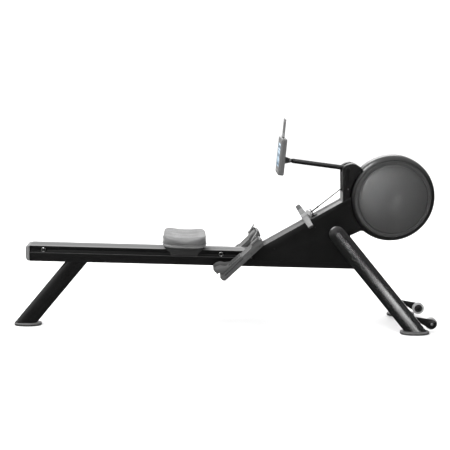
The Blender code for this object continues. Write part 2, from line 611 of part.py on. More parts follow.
# --- footrests --------------------------------------------------------------------------------
def make_footrests():
    top = FOOTREST_THICK
    length = FOOTREST_LENGTH
    base = (arc((0.016, 0.016), 0.016, 180, 270, 5) + arc((length - 0.014, 0.014), 0.014, 270, 360, 4)
            + [(length + 0.002, 0.030), (length - 0.003, 0.036), (0.2260, 0.036), (0.2245, top)]
            + arc((0.006, top - 0.006), 0.006, 90, 180, 3))
    heel = [(0.0180, top + 0.0010), (0.0165, 0.0500), (0.0025, 0.0550), (0.0035, 0.0850), (0.0150, 0.0885),
            (0.0285, 0.0870), (0.0470, 0.0780), (0.0590, 0.0600), (0.0830, 0.0400), (0.1550, 0.0370),
            (0.1560, top + 0.0010)]
    pocket = [(0.0250, 0.0380), (0.0230, 0.0560), (0.0120, 0.0620), (0.0120, 0.1000), (0.1700, 0.1000),
              (0.1700, 0.0370)]
    for word, side in SIDES.items():
        low, high = mirrored(side, FOOTREST_IN, FOOTREST_OUT)
        rest = add(f"footrest_{word}", prism([foot_point(*p) for p in base], low, high), GREY_PLASTIC)
        low, high = mirrored(side, FOOTREST_IN - 0.02, 0.1404)
        cut(rest, rod(foot_point(*CROSSBAR_AT), CROSSBAR_RADIUS + GAP, low, high, 20))
        inner, outer = FOOTREST_IN + 0.003, FOOTREST_OUT - 0.003
        low, high = mirrored(side, inner, outer)
        origin = foot_point(0.018, top)
        cup = add(f"heel_slider_{word}", prism([foot_point(*p) for p in heel], low, high), GREY_PLASTIC,
                  (origin[0], side * (inner + outer) / 2, origin[1]))
        low, high = mirrored(side, inner + 0.005, outer - 0.005)
        cut(cup, prism([foot_point(*p) for p in pocket], low, high))
        make_toe_strap(word, side)
    bar = [(0, -0.1400), (CROSSBAR_RADIUS, -0.1400), (CROSSBAR_RADIUS, 0.1400), (0, 0.1400)]
    add("foot_crossbar", turned(bar, foot_point(*CROSSBAR_AT), 20), STEEL)


def make_toe_strap(word, side):
    """A band arched over the toes; its ends stand on the footrest's edges."""
    foot, rise, thick = 0.0364, 0.0130, 0.0025
    low, high = FOOTREST_IN + 0.002, FOOTREST_OUT - 0.002
    middle, half = (low + high) / 2, (high - low) / 2
    outer, inner = [], []
    for k in range(13):
        turn = math.pi * k / 12
        across, lift = math.cos(turn), math.sin(turn) ** 0.5
        outer.append((middle + half * across, foot + rise * lift))
        inner.append((middle + (half - thick) * across, foot + (rise - thick) * lift))
    outline = outer + inner[::-1]
    rings = []
    for along in (0.2380, 0.2780):
        ring = []
        for y, above in outline:
            x, z = foot_point(along, above)
            ring.append((x, side * y, z))
        rings.append(ring)
    add(f"toe_strap_{word}", loft(rings), WEBBING)


# --- seat -------------------------------------------------------------------------------------
def make_seat():
    origin = Vector((rail_point(SEAT_U, 0)[0], 0, rail_point(SEAT_U, 0)[1]))

    def slab(shrink, w):
        ring = superellipse(SEAT_LENGTH / 2 - shrink, SEAT_WIDTH / 2 - shrink, 32, 4.0)
        return [(rail_point(SEAT_U + a, w)[0], b, rail_point(SEAT_U + a, w)[1]) for a, b in ring]

    base = [slab(0.010, SEAT_BASE_W), slab(0.004, SEAT_BASE_W + 0.004), slab(0.003, SEAT_PAD_W - GAP)]
    add("seat_base", loft(base), GREY_SHELL, origin)
    pad = [slab(0.003, SEAT_PAD_W), slab(0.0, SEAT_PAD_W + 0.010), slab(0.001, SEAT_TOP_W - 0.016),
           slab(0.012, SEAT_TOP_W - 0.003), slab(0.026, SEAT_TOP_W)]
    add("seat_pad", loft(pad), VINYL, origin)

    inner, outer = 0.0530, 0.0570
    top = SEAT_BASE_W - GAP
    plate = [(SEAT_U + du, w) for du, w in ((-0.1045, top - 0.006), (0.1045, top - 0.006),
                                            (0.1045, top), (-0.1045, top))]
    plate = prism([rail_point(u, w) for u, w in plate], -outer, outer)
    carriage = add("seat_carriage", plate, DARK_PLASTIC, origin)
    high, wide, low_half, bottom = 0.0100, 0.1040, 0.0600, -0.0310
    corners = [(-wide, high), (-low_half, bottom), (low_half, bottom), (wide, high)]
    cover = [(-wide, top - 0.001), corners[0]] + rounded(corners, 0.020, 5)[6:18]
    cover += [corners[3], (wide, top - 0.001)]
    cover = [rail_point(SEAT_U + du, w) for du, w in cover]
    w_axis = CHANNEL_FLOOR + ROLLER_RADIUS + GAP
    for word, side in SIDES.items():
        low, high = mirrored(side, inner, outer)
        join(carriage, prism(cover, low, high))
        for end, du in (("front", ROLLER_SPREAD), ("rear", -ROLLER_SPREAD)):
            centre = rail_point(SEAT_U + du, w_axis)
            low, high = mirrored(side, 0.0412, inner + 0.001)
            join(carriage, rod(centre, 0.0040, low, high, 10))
            low, high = mirrored(side, 0.0408, 0.0495)
            wheel = [(0.0044, low), (ROLLER_RADIUS, low), (ROLLER_RADIUS, high), (0.0044, high)]
            origin = (centre[0], (low + high) / 2, centre[1])
            add(f"seat_roller_{end}_{word}", turned(wheel, centre, 16), RUBBER, origin)


# --- build ------------------------------------------------------------------------------------
def clear_scene():
    for item in list(bpy.data.objects):
        bpy.data.objects.remove(item)


def main():
    clear_scene()
    make_rail()
    make_rail_stop("rail_stop_rear", STOP_REAR_U)
    make_rail_stop("rail_stop_front", STOP_FRONT_U)
    make_rail_end_cap()
    make_supports()
    make_wheels()
    make_body()
    make_mast()
    make_grommet()
    make_fan()
    make_cord()
    make_handle()
    make_handle_rest()
    make_console()
    make_footrests()
    make_seat()


main()
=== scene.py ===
"""Looks of the rowing machine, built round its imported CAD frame. Metres, +Z up, +X towards the fan."""

import json
import math

import bmesh
import bpy
import numpy as np
from mathutils import Matrix, Vector


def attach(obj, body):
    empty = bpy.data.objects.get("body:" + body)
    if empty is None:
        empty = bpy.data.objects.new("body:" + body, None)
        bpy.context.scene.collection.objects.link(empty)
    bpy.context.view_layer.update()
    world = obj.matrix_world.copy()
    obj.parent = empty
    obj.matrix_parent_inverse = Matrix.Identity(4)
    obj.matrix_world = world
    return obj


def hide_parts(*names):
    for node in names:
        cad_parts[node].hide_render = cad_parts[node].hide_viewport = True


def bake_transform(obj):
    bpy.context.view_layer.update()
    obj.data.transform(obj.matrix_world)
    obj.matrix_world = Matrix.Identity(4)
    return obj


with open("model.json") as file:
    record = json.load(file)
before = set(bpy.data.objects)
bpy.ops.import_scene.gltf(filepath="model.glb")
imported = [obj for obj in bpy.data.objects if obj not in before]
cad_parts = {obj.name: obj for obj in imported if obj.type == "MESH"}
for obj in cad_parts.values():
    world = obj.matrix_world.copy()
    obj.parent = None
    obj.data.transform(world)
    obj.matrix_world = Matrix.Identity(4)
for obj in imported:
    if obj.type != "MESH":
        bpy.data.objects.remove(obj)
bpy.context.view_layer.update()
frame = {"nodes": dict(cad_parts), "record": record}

NODES = frame["nodes"]
SIDES = {"left": 1, "right": -1}
GAP = 0.0004

RAIL_TILT = math.radians(1.44)
RAIL_TOP = 0.4197
RAIL_HALF = 0.0500
# Height of the light metal strips that stand in as a painted highlight on the lower band's top edge.
EDGE_HIGHLIGHT_W = -0.0365
PANEL_FACE = 0.0545
SPINE_START, SPINE_END, SPINE_HALF = 0.1560, 0.6080, 0.0511
FAN = (0.8715, 0.6950)
SHELL_SCREW_RADIUS = 0.2195
DISC_DOME = -22.0
WHEEL, WHEEL_Y, WHEEL_HALF = (1.0862, 0.0470), 0.1340, 0.0110
YOKE_TILT = math.radians(33)
HANDLE = Vector((0.4200, 0.0, 0.5945))
TIP = Vector((0.4165, 0.2830, 0.5965))
EXIT = Vector((0.6137, 0.0, 0.7465))
REACH = Vector((math.cos(YOKE_TILT), 0, math.sin(YOKE_TILT)))
LIFT = Vector((-math.sin(YOKE_TILT), 0, math.cos(YOKE_TILT)))
YOKE_REACH = 0.0380
CORD_RADIUS = 0.0030
CONSOLE_LEAN = math.radians(4.7)
CONSOLE_HEIGHT = 0.1890
FOOT_TILT = math.radians(44)
FOOT_IN, FOOT_OUT, FOOT_TOP = 0.058, 0.150, 0.0325
BAR_ALONG, BAR_ABOVE = 0.120, 0.008
SEAT_U, SEAT_HALF_U, SEAT_HALF_Y = -0.2115, 0.1175, 0.1400
PAD_LOW, PAD_HIGH = 0.0392, 0.0808
PUFF_CAP = 0.006
THREADS = 2600.0


# --- frames and outlines ---
def rail_point(u, w):
    """X and Z of a point u along the rail and w above its top face."""
    c, s = math.cos(RAIL_TILT), math.sin(RAIL_TILT)
    return u * c + w * s, RAIL_TOP - u * s + w * c


def foot_point(along, above):
    """X and Z of a point along the footrest from its heel and above its underside."""
    c, s = math.cos(FOOT_TILT), math.sin(FOOT_TILT)
    return -0.0057 + along * c - above * s, 0.2770 + along * s + above * c


def console_point(up, back):
    """X and Z of a point up the console's face and back from it."""
    c, s = math.cos(CONSOLE_LEAN), math.sin(CONSOLE_LEAN)
    return 0.2673 + up * s + back * c, 0.8200 + up * c - back * s


def spine_z(x):
    """Height of the side panels' sloping top edge."""
    return 0.4165 + (x - 0.150) * math.tan(math.radians(29.9))


def arc(centre, radius, start, end, count):
    """Points from one angle to another, in degrees."""
    steps = [math.radians(start + (end - start) * k / count) for k in range(count + 1)]
    return [(centre[0] + radius * math.cos(a), centre[1] + radius * math.sin(a)) for a in steps]


def rounded(corners, radius, count=6):
    """The outline with each corner replaced by an arc."""
    points = []
    for k, corner in enumerate(corners):
        here = Vector(corner)
        before = (Vector(corners[k - 1]) - here).normalized()
        after = (Vector(corners[(k + 1) % len(corners)]) - here).normalized()
        half = before.angle(after) / 2
        centre = here + (before + after).normalized() * radius / math.sin(half)
        first = here + before * radius / math.tan(half) - centre
        last = here + after * radius / math.tan(half) - centre
        for j in range(count + 1):
            points.append(tuple(centre + first.lerp(last, j / count).normalized() * radius))
    return points


def superellipse(half_u, half_v, count=72, power=2.6):
    points = []
    for k in range(count):
        c, s = math.cos(2 * math.pi * k / count), math.sin(2 * math.pi * k / count)
        points.append((half_u * math.copysign(abs(c) ** (2 / power), c),
                       half_v * math.copysign(abs(s) ** (2 / power), s)))
    return points


def span(side, a, b):
    """The low and high Y between a and b on this side of the machine."""
    return sorted((side * a, side * b))


# --- materials ---
class Look:
    """One procedural material; its helpers add nodes and return their output sockets."""

    def __init__(self, name, colour, rough, metallic=0.0, specular=0.5):
        self.made = bpy.data.materials.new(name)
        self.made.use_nodes = True
        self.tree = self.made.node_tree
        self.shader = self.tree.nodes["Principled BSDF"]
        self.colour = (*((colour,) * 3 if isinstance(colour, float) else colour), 1.0)
        self.set("Base Color", self.colour)
        self.set("Roughness", rough)
        self.set("Metallic", metallic)
        self.set("Specular IOR Level", specular)
        self.place = self.node("ShaderNodeTexCoord").outputs["Object"]

    def node(self, kind, **values):
        made = self.tree.nodes.new(kind)
        for key, value in values.items():
            setattr(made, key, value)
        return made

    def set(self, name, value):
        self.shader.inputs[name].default_value = value
        return self

    def link(self, a, b):
        self.tree.links.new(a, b)

    def scaled(self, scale):
        if isinstance(scale, (int, float)):
            scale = (scale,) * 3
        made = self.node("ShaderNodeMapping")
        made.inputs["Scale"].default_value = scale
        self.link(self.place, made.inputs["Vector"])
        return made.outputs["Vector"]

    def noise(self, scale, detail=3.0):
        made = self.node("ShaderNodeTexNoise")
        made.inputs["Scale"].default_value = 1.0
        made.inputs["Detail"].default_value = detail
        made.inputs["Roughness"].default_value = 0.55
        self.link(self.scaled(scale), made.inputs["Vector"])
        return made.outputs["Fac"]

    def cells(self, scale, feature="F1"):
        made = self.node("ShaderNodeTexVoronoi", feature=feature)
        made.inputs["Scale"].default_value = 1.0
        self.link(self.scaled(scale), made.inputs["Vector"])
        return made.outputs["Distance"]

    def math(self, kind, a, b=0.0):
        made = self.node("ShaderNodeMath", operation=kind)
        for socket, value in zip(made.inputs, (a, b)):
            if isinstance(value, (int, float)):
                socket.default_value = value
            else:
                self.link(value, socket)
        return made.outputs[0]

    def spread(self, value, low, high, to_low, to_high):
        made = self.node("ShaderNodeMapRange")
        self.link(value, made.inputs["Value"])
        ends = (("From Min", low), ("From Max", high), ("To Min", to_low), ("To Max", to_high))
        for key, number in ends:
            made.inputs[key].default_value = number
        return made.outputs["Result"]

    def blend(self, factor, a, b):
        made = self.node("ShaderNodeMix", data_type="RGBA")
        self.link(factor, made.inputs["Factor"])
        for key, value in ((6, a), (7, b)):
            if isinstance(value, (int, float)):
                value = (value, value, value)
            if isinstance(value, tuple):
                made.inputs[key].default_value = (*value[:3], 1.0)
            else:
                self.link(value, made.inputs[key])
        return made.outputs[2]

    def colour_from(self, socket):
        self.link(socket, self.shader.inputs["Base Color"])
        return self

    def rough_from(self, socket):
        self.link(socket, self.shader.inputs["Roughness"])
        return self

    def mottle(self, scale, amount):
        """Slight colour variation round the base colour."""
        base = self.colour[:3]
        low = tuple(c * (1 - amount) for c in base)
        high = tuple(min(1.0, c * (1 + amount)) for c in base)
        return self.colour_from(self.blend(self.spread(self.noise(scale), 0.3, 0.7, 0, 1), low, high))

    def bump(self, height, depth, strength=1.0):
        """A surface relief of this depth in metres."""
        made = self.node("ShaderNodeBump")
        made.inputs["Strength"].default_value = strength
        made.inputs["Distance"].default_value = depth
        self.link(height, made.inputs["Height"])
        if self.shader.inputs["Normal"].links:
            self.link(self.shader.inputs["Normal"].links[0].from_socket, made.inputs["Normal"])
        self.link(made.outputs["Normal"], self.shader.inputs["Normal"])
        return self

    def scuffed(self, low, high, scale=(9, 30, 30)):
        """Roughness that wanders between two values, as handling leaves it."""
        return self.rough_from(self.spread(self.noise(scale, 5.0), 0.35, 0.65, low, high))


def painted(name, colour, rough, specular=0.5):
    look = Look(name, colour, rough, 0.0, specular)
    look.mottle(14, 0.12).scuffed(rough * 0.88, rough * 1.12)
    return look.bump(look.noise(900, 2.0), 0.00004)


def moulded(name, colour, rough, grain=1600, depth=0.00005, specular=0.5):
    look = Look(name, colour, rough, 0.0, specular)
    look.mottle(22, 0.07).scuffed(rough * 0.9, rough * 1.1, 40)
    return look.bump(look.cells(grain), depth)


BLACK = painted("black_powder_coat", 0.0055, 0.36, 0.20)
BLACK_GLOSS = painted("black_gloss_paint", 0.0050, 0.24, 0.50)
PANEL = painted("black_panel_paint", 0.0065, 0.34, 0.16)
SHELL = painted("dark_shell_paint", 0.0055, 0.32, 0.5)
DARK = moulded("dark_moulded", 0.030, 0.45)
CARRIAGE = moulded("carriage_moulded", 0.024, 0.50, 1600, 0.00005, 0.3)
RING = moulded("ring_moulded", 0.042, 0.50, 1600, 0.00005, 0.25)
CASE = moulded("console_moulded", 0.105, 0.42)
BEZEL = moulded("bezel_moulded", 0.12, 0.30)
MID = moulded("footrest_moulded", 0.062, 0.42)
MID_LIGHT = moulded("heel_moulded", 0.058, 0.40)
STRAP_TAB = moulded("strap_tab_moulded", 0.14, 0.40)
CAP = moulded("cap_moulded", 0.16, 0.42)
PLATE = painted("foot_plate_paint", 0.10, 0.35)
SOLE = moulded("sole_rubber", 0.045, 0.75, 700, 0.00012)
BUMPER = moulded("bumper_rubber", 0.014, 0.70, 700, 0.0001)
LIGHT = moulded("light_moulded", 0.19, 0.38)
GRIP = moulded("grip_rubber", 0.135, 0.55, 420, 0.00025)
GRIP_END = moulded("grip_end_rubber", 0.022, 0.6, 900, 0.0001)
TYRE = moulded("grey_tyre", 0.36, 0.6, 500, 0.0002)
BASE = moulded("base_moulded", 0.14, 0.40)
SEAM = moulded("seam_vinyl", 0.10, 0.6)
COVER = painted("cover_paint", 0.045, 0.30)


def metal(name, colour, rough):
    look = Look(name, colour, rough, 1.0)
    look.mottle((40, 4, 40), 0.08).scuffed(rough * 0.8, rough * 1.25, (60, 8, 60))
    return look.bump(look.noise((1400, 60, 1400), 2.0), 0.00002)


STEEL = metal("bright_steel", 0.60, 0.22)
ZINC = metal("zinc_steel", 0.42, 0.34)
# Light metal for thin strips along the rail sides: a painted highlight for the light that the lower band's
# top edge catches.
EDGE_HIGHLIGHT_METAL = metal("rail_lip_alloy", 0.20, 0.35)


def rail_side_look():
    """Black anodised extrusion with faint draw lines along it."""
    look = Look("rail_anodised", 0.008, 0.30, 0.0, 0.16)
    drawn = look.spread(look.noise((6, 60, 200), 4.0), 0.3, 0.7, 0, 1)
    look.colour_from(look.blend(drawn, 0.0055, 0.0085))
    return look.bump(look.noise((8, 900, 900), 3.0), 0.00004)


def rail_top_look():
    """The brushed running face, lighter than the black sides: partly its own metal and partly a painted
    reflection of the bright light that up-facing faces catch. Darker along its middle, within 23 mm of the
    centre line, than at its two edges.
    """
    look = Look("rail_top_metal_and_painted_sheen", 0.12, 0.36)
    parts = look.node("ShaderNodeSeparateXYZ")
    look.link(look.place, parts.inputs["Vector"])
    brushed = look.spread(look.noise((3, 700, 30), 4.0), 0.3, 0.7, 0, 1)
    inner = look.blend(brushed, 0.050, 0.066)
    outer = look.spread(look.math("ABSOLUTE", parts.outputs["Y"]), 0.0230, 0.0236, 0, 1)
    look.colour_from(look.blend(outer, inner, 0.105))
    look.rough_from(look.spread(brushed, 0, 1, 0.32, 0.42))
    return look.bump(look.noise((8, 900, 900), 3.0), 0.00004)


def disc_look():
    """Satin spun metal, faintly domed, with fine concentric turning marks."""
    look = Look("spun_metal", 0.30, 0.36, 0.8)
    parts = look.node("ShaderNodeSeparateXYZ")
    look.link(look.place, parts.inputs["Vector"])
    x = look.math("SUBTRACT", parts.outputs["X"], FAN[0])
    z = look.math("SUBTRACT", parts.outputs["Z"], FAN[1])
    square = look.math("ADD", look.math("MULTIPLY", x, x), look.math("MULTIPLY", z, z))
    radius = look.math("SQRT", square)
    rings = look.node("ShaderNodeTexNoise", noise_dimensions="1D")
    rings.inputs["Scale"].default_value = 1500.0
    rings.inputs["Detail"].default_value = 3.0
    look.link(radius, rings.inputs["W"])
    marks = rings.outputs["Fac"]
    look.colour_from(look.blend(look.spread(marks, 0.25, 0.75, 0, 1), 0.10, 0.13))
    look.rough_from(look.spread(marks, 0.25, 0.75, 0.33, 0.45))
    look.bump(look.math("MULTIPLY", look.math("MULTIPLY", radius, radius), DISC_DOME), 0.01)
    return look.bump(marks, 0.00003)


def vinyl_look():
    look = Look("seat_vinyl", 0.104, 0.48)
    look.mottle(16, 0.05).scuffed(0.42, 0.55, 18)
    look.set("Sheen Weight", 0.15)
    look.set("Sheen Roughness", 0.5)
    grain = look.cells(520, "DISTANCE_TO_EDGE")
    look.bump(look.spread(grain, 0.0, 0.25, 0.0, 1.0), 0.00016)
    return look.bump(look.noise(60, 4.0), 0.0006, 0.5)


def webbing_look():
    look = Look("strap_webbing", 0.13, 0.85)
    parts = look.node("ShaderNodeSeparateXYZ")
    look.link(look.place, parts.inputs["Vector"])
    ways = (parts.outputs["Y"], look.math("ADD", parts.outputs["X"], parts.outputs["Z"]))
    across, along = (look.math("SINE", look.math("MULTIPLY", way, THREADS)) for way in ways)
    weave = look.math("MULTIPLY", across, along)
    look.colour_from(look.blend(look.spread(weave, -1, 1, 0, 1), 0.09, 0.17))
    look.set("Sheen Weight", 0.2)
    return look.bump(weave, 0.0004)


def cord_look():
    look = Look("braided_cord", 0.06, 0.7)
    wave = look.node("ShaderNodeTexWave", wave_type="BANDS", bands_direction="DIAGONAL")
    wave.inputs["Scale"].default_value = 1.0
    look.link(look.scaled((120, 160, 160)), wave.inputs["Vector"])
    look.colour_from(look.blend(wave.outputs["Fac"], 0.04, 0.08))
    return look.bump(wave.outputs["Fac"], 0.0003)


def screen_look():
    """A pale blue lit display with a soft gradient."""
    look = Look("lit_screen", (0.30, 0.48, 0.62), 0.12)
    parts = look.node("ShaderNodeSeparateXYZ")
    look.link(look.place, parts.inputs["Vector"])
    up = look.spread(parts.outputs["Z"], 0.86, 0.98, 0.0, 1.0)
    glow = look.blend(up, (0.36, 0.55, 0.72), (0.60, 0.76, 0.88))
    look.colour_from(glow)
    look.link(glow, look.shader.inputs["Emission Color"])
    look.set("Emission Strength", 0.42)
    look.set("Coat Weight", 0.6)
    return look.bump(look.noise(300, 2.0), 0.00001)


RAIL = rail_side_look()
RAIL_FACE = rail_top_look()
DISC = disc_look()
VINYL = vinyl_look()
WEBBING = webbing_look()
CORD = cord_look()
SCREEN = screen_look()
INK = moulded("display_ink", (0.06, 0.09, 0.13), 0.4)


# --- mesh tools ---
def link(name, mesh, look, smooth=35):
    """Makes a shown object from a bmesh and gives it a material and smooth shading."""
    bmesh.ops.recalc_face_normals(mesh, faces=mesh.faces)
    data = bpy.data.meshes.new(name)
    mesh.to_mesh(data)
    mesh.free()
    data.materials.append(look.made)
    data.shade_smooth()
    data.set_sharp_from_angle(angle=math.radians(smooth))
    made = bpy.data.objects.new(name, data)
    bpy.context.scene.collection.objects.link(made)
    return made


def applied(piece, smooth=35):
    """Turns the piece's modifiers into its mesh."""
    graph = bpy.context.evaluated_depsgraph_get()
    data = bpy.data.meshes.new_from_object(piece.evaluated_get(graph))
    old = piece.data
    piece.modifiers.clear()
    piece.data = data
    bpy.data.meshes.remove(old)
    data.shade_smooth()
    data.set_sharp_from_angle(angle=math.radians(smooth))
    return piece


def loft(rings, caps=True):
    """A skin over rings of points; a ring of one point closes it."""
    mesh = bmesh.new()
    rows = [[mesh.verts.new(point) for point in ring] for ring in rings]
    for low, high in zip(rows, rows[1:]):
        size = max(len(low), len(high))
        for k in range(size):
            n = (k + 1) % size
            if len(low) == 1:
                mesh.faces.new((low[0], high[n], high[k]))
            elif len(high) == 1:
                mesh.faces.new((low[k], low[n], high[0]))
            else:
                mesh.faces.new((low[k], low[n], high[n], high[k]))
    if caps:
        for row in (rows[0], rows[-1]):
            if len(row) > 2:
                mesh.faces.new(row)
    return mesh


def prism(outline, y_low, y_high):
    return loft([[(x, y, z) for x, z in outline] for y in (y_low, y_high)])


def turned(profile, centre, steps=96):
    """The (radius, y) profile turned about the Y direction through this XZ centre."""
    mesh = bmesh.new()
    rows = []
    for radius, y in profile:
        if radius < 1e-9:
            rows.append([mesh.verts.new((centre[0], y, centre[1]))])
        else:
            rows.append([mesh.verts.new((x, y, z)) for x, z in arc(centre, radius, 0, 360, steps)[:-1]])
    for low, high in zip(rows, rows[1:] + rows[:1]):
        if len(low) == len(high) == 1:
            continue
        for k in range(steps):
            n = (k + 1) % steps
            if len(low) == 1:
                mesh.faces.new((low[0], high[k], high[n]))
            elif len(high) == 1:
                mesh.faces.new((low[k], high[0], low[n]))
            else:
                mesh.faces.new((low[k], high[k], high[n], low[n]))
    return mesh


def rod(centre, radius, y_low, y_high, steps=32):
    return turned([(0, y_low), (radius, y_low), (radius, y_high), (0, y_high)], centre, steps)


def add_block(mesh, low, high):
    """Adds the solid between two outlines of four points."""
    low, high = ([mesh.verts.new(point) for point in row] for row in (low, high))
    mesh.faces.new(high)
    mesh.faces.new(low[::-1])
    for a in range(4):
        b = (a + 1) % 4
        mesh.faces.new((low[a], low[b], high[b], high[a]))


def tube_between(start, end, rows, steps=40):
    """A turned solid along the line from start to end; rows are (distance, radius)."""
    start, end = Vector(start), Vector(end)
    axis = (end - start).normalized()
    across = axis.orthogonal().normalized()
    other = axis.cross(across)
    rings = []
    for distance, radius in rows:
        centre = start + axis * distance
        if radius < 1e-9:
            rings.append([centre])
            continue
        turn = [2 * math.pi * k / steps for k in range(steps)]
        rings.append([centre + radius * (across * math.cos(a) + other * math.sin(a)) for a in turn])
    return loft(rings)


def bevelled(piece, width, segments=2, angle=32):
    made = piece.modifiers.new("edges", "BEVEL")
    made.width = width
    made.segments = segments
    made.limit_method = "ANGLE"
    made.angle_limit = math.radians(angle)
    made.harden_normals = True
    made.use_clamp_overlap = True
    return piece


def cut(piece, mesh):
    """Cuts this mesh from the piece."""
    helper = link("helper", mesh, BLACK)
    made = piece.modifiers.new("shape", "BOOLEAN")
    made.operation = "DIFFERENCE"
    made.solver = "EXACT"
    made.object = helper
    applied(piece)
    bpy.data.objects.remove(helper)
    return piece


def tidy_solid(node):
    """The node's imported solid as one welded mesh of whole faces, ready for its edges to be rounded."""
    mesh = bmesh.new()
    mesh.from_mesh(NODES[node].data)
    bmesh.ops.remove_doubles(mesh, verts=mesh.verts, dist=0.00001)
    bmesh.ops.dissolve_limit(mesh, angle_limit=math.radians(0.6), verts=mesh.verts, edges=mesh.edges)
    return mesh


def body_of(node):
    bodies = frame["record"]["behaviour"]["bodies"]
    return next(body for body, members in bodies.items() if node in members)


def stand_for(piece, node):
    """The piece replaces this CAD node and rides with it."""
    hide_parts(node)
    return detail(piece, node)


def detail(piece, node):
    """An added piece that goes with this CAD node."""
    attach(piece, body_of(node))
    return piece


def finished(node, look, width, segments=2, angle=32):
    """The CAD solid with its edges rounded and its own material."""
    piece = link(f"{node}_skin", tidy_solid(node), look)
    applied(bevelled(piece, width, segments, angle), angle)
    return stand_for(piece, node)


def screw_head(name, point, normal, radius, look, body_node, height=0.0022):
    """A domed head with a round recess, standing on the point."""
    normal = Vector(normal).normalized()
    point = Vector(point)
    rows = [(0, radius), (height * 0.45, radius), (height * 0.8, radius * 0.86), (height, radius * 0.55),
            (height, radius * 0.45), (height * 0.35, radius * 0.42), (height * 0.35, 0)]
    piece = link(name, tube_between(point, point + normal, rows, 24), look)
    return detail(piece, body_node)


# --- camera, floor and light ---
def make_stage():
    right = Vector((0.99937, -0.03412, 0.00938)).normalized()
    ahead = Vector((0.03532, 0.97822, -0.20454)).normalized()
    up = right.cross(ahead).normalized()
    turn = Matrix((right, up, -ahead)).transposed()
    data = bpy.data.cameras.new("camera")
    data.lens, data.sensor_width = 68.8, 36.0
    camera = bpy.data.objects.new("camera", data)
    camera.matrix_world = Matrix.Translation((-0.158, -4.420, 1.470)) @ turn.to_4x4()
    bpy.context.scene.collection.objects.link(camera)
    bpy.context.scene.camera = camera

    floor_look = Look("pale_floor", 0.90, 0.6)
    floor_look.mottle(3, 0.01)
    mesh = bmesh.new()
    corners = [(-26, -26, 0), (26, -26, 0), (26, 26, 0), (-26, 26, 0)]
    mesh.faces.new([mesh.verts.new((x, y, z - 0.0004)) for x, y, z in corners])
    floor = link("floor", mesh, floor_look)
    floor.visible_glossy = False
    wall_look = Look("white_wall", 0.9, 0.9)
    wall_look.set("Emission Color", (1, 1, 1, 1)).set("Emission Strength", 1.0)
    wall_look.mottle(1, 0.01)
    ring = arc((0, 0), 28, 0, 360, 48)[:-1]
    wall = link("wall", loft([[(x, y, z) for x, y in ring] for z in (-2, 26)], False), wall_look)
    wall.visible_glossy = wall.visible_diffuse = wall.visible_shadow = False

    world = bpy.data.worlds.new("studio")
    world.use_nodes = True
    bpy.context.scene.world = world
    tree = world.node_tree
    place = tree.nodes.new("ShaderNodeTexCoord")
    lean = tree.nodes.new("ShaderNodeVectorMath")
    lean.operation = "DOT_PRODUCT"
    lean.inputs[1].default_value = (-0.30, 0.10, 1.00)
    tree.links.new(place.outputs["Generated"], lean.inputs[0])
    shade = tree.nodes.new("ShaderNodeMapRange")
    ends = (("From Min", -0.15), ("From Max", 0.75), ("To Min", 0.10), ("To Max", 1.50))
    for key, number in ends:
        shade.inputs[key].default_value = number
    tree.links.new(lean.outputs["Value"], shade.inputs["Value"])
    tree.links.new(shade.outputs["Result"], tree.nodes["Background"].inputs["Strength"])
    tree.nodes["Background"].inputs["Color"].default_value = (1, 1, 1, 1)
    bpy.context.scene.view_settings.view_transform = "Standard"

    for name, place, aim, size, power, spread in (
        ("top_softbox", (-1.4, -0.4, 3.5), (0.2, 0, 0.4), 1.7, 130, 180),
        ("front_fill", (-1.9, -4.5, 2.9), (0.4, 0, 0.5), 3.0, 14, 180),
        ("disc_card", (1.06, -5.00, 0.64), (0.87, 0, 0.63), 0.5, 0.115, 5),
        ("back_strip", (1.2, 5.2, 2.6), (0.2, 0, 0.4), 2.4, 60, 180),
        ("leg_card", (1.10, -1.70, 0.10), (0.94, -0.15, 0.09), 0.40, 0.20, 16),
    ):
        light = bpy.data.lights.new(name, "AREA")
        light.spread = math.radians(spread)
        light.shape, light.size, light.energy = "SQUARE", size, power
        lamp = bpy.data.objects.new(name, light)
        lamp.location = place
        lamp.rotation_mode = "QUATERNION"
        lamp.rotation_quaternion = (Vector(aim) - Vector(place)).to_track_quat("-Z", "Y")
        lamp.visible_camera = False
        bpy.context.scene.collection.objects.link(lamp)


# --- rail and stand ---
def make_rail():
    rail = finished("rail", RAIL, 0.0009, 2)
    rail.data.materials.append(RAIL_FACE.made)
    # Up-facing top faces take the lighter material: partly the running face's own metal, partly painted
    # reflection of the bright light.
    for face in rail.data.polygons:
        x, _, z = face.center
        above = x * math.sin(RAIL_TILT) + (z - RAIL_TOP) * math.cos(RAIL_TILT)
        face.material_index = int(above > -0.0006 and face.normal.z > 0.7)
    finished("rail_end_cap", CAP, 0.0035, 3)
    # Thin light metal strips along both rail sides, just under the lower band's top edge: a painted
    # highlight for that edge.
    section = ((-0.0006, 0.0022), (0.0006, 0.0019), (0.0010, 0.0), (0.0006, -0.0019), (-0.0006, -0.0022))
    for word, side in SIDES.items():
        rows = [[(x, side * (RAIL_HALF + dy), z + dz) for dy, dz in section]
                for x, z in (rail_point(-1.0125, EDGE_HIGHLIGHT_W), rail_point(0.1450, EDGE_HIGHLIGHT_W))]
        detail(link(f"rail_lip_{word}", loft(rows), EDGE_HIGHLIGHT_METAL), "rail")
    collar = ((0.0096, -0.0022), (0.0115, -0.0022), (0.0117, -0.0004), (0.0106, 0.0006), (0.0095, -0.0004))
    for end, u in (("rear", -0.9415), ("front", -0.019)):
        node = f"rail_stop_{end}"
        finished(node, BUMPER, 0.0006, 2)
        centre = rail_point(u, -0.0205)
        for word, side in SIDES.items():
            ring = [(radius, side * (RAIL_HALF + out)) for radius, out in collar]
            detail(link(f"{node}_ring_{word}", turned(ring, centre, 48), ZINC), node)
            hexagon = arc(centre, 0.0052, 0, 360, 6)[:-1]
            low, high = span(side, RAIL_HALF - 0.0016, RAIL_HALF + 0.0012)
            nut = bevelled(link(f"{node}_nut_{word}", prism(hexagon, low, high), BLACK_GLOSS), 0.0006)
            detail(applied(nut), node)


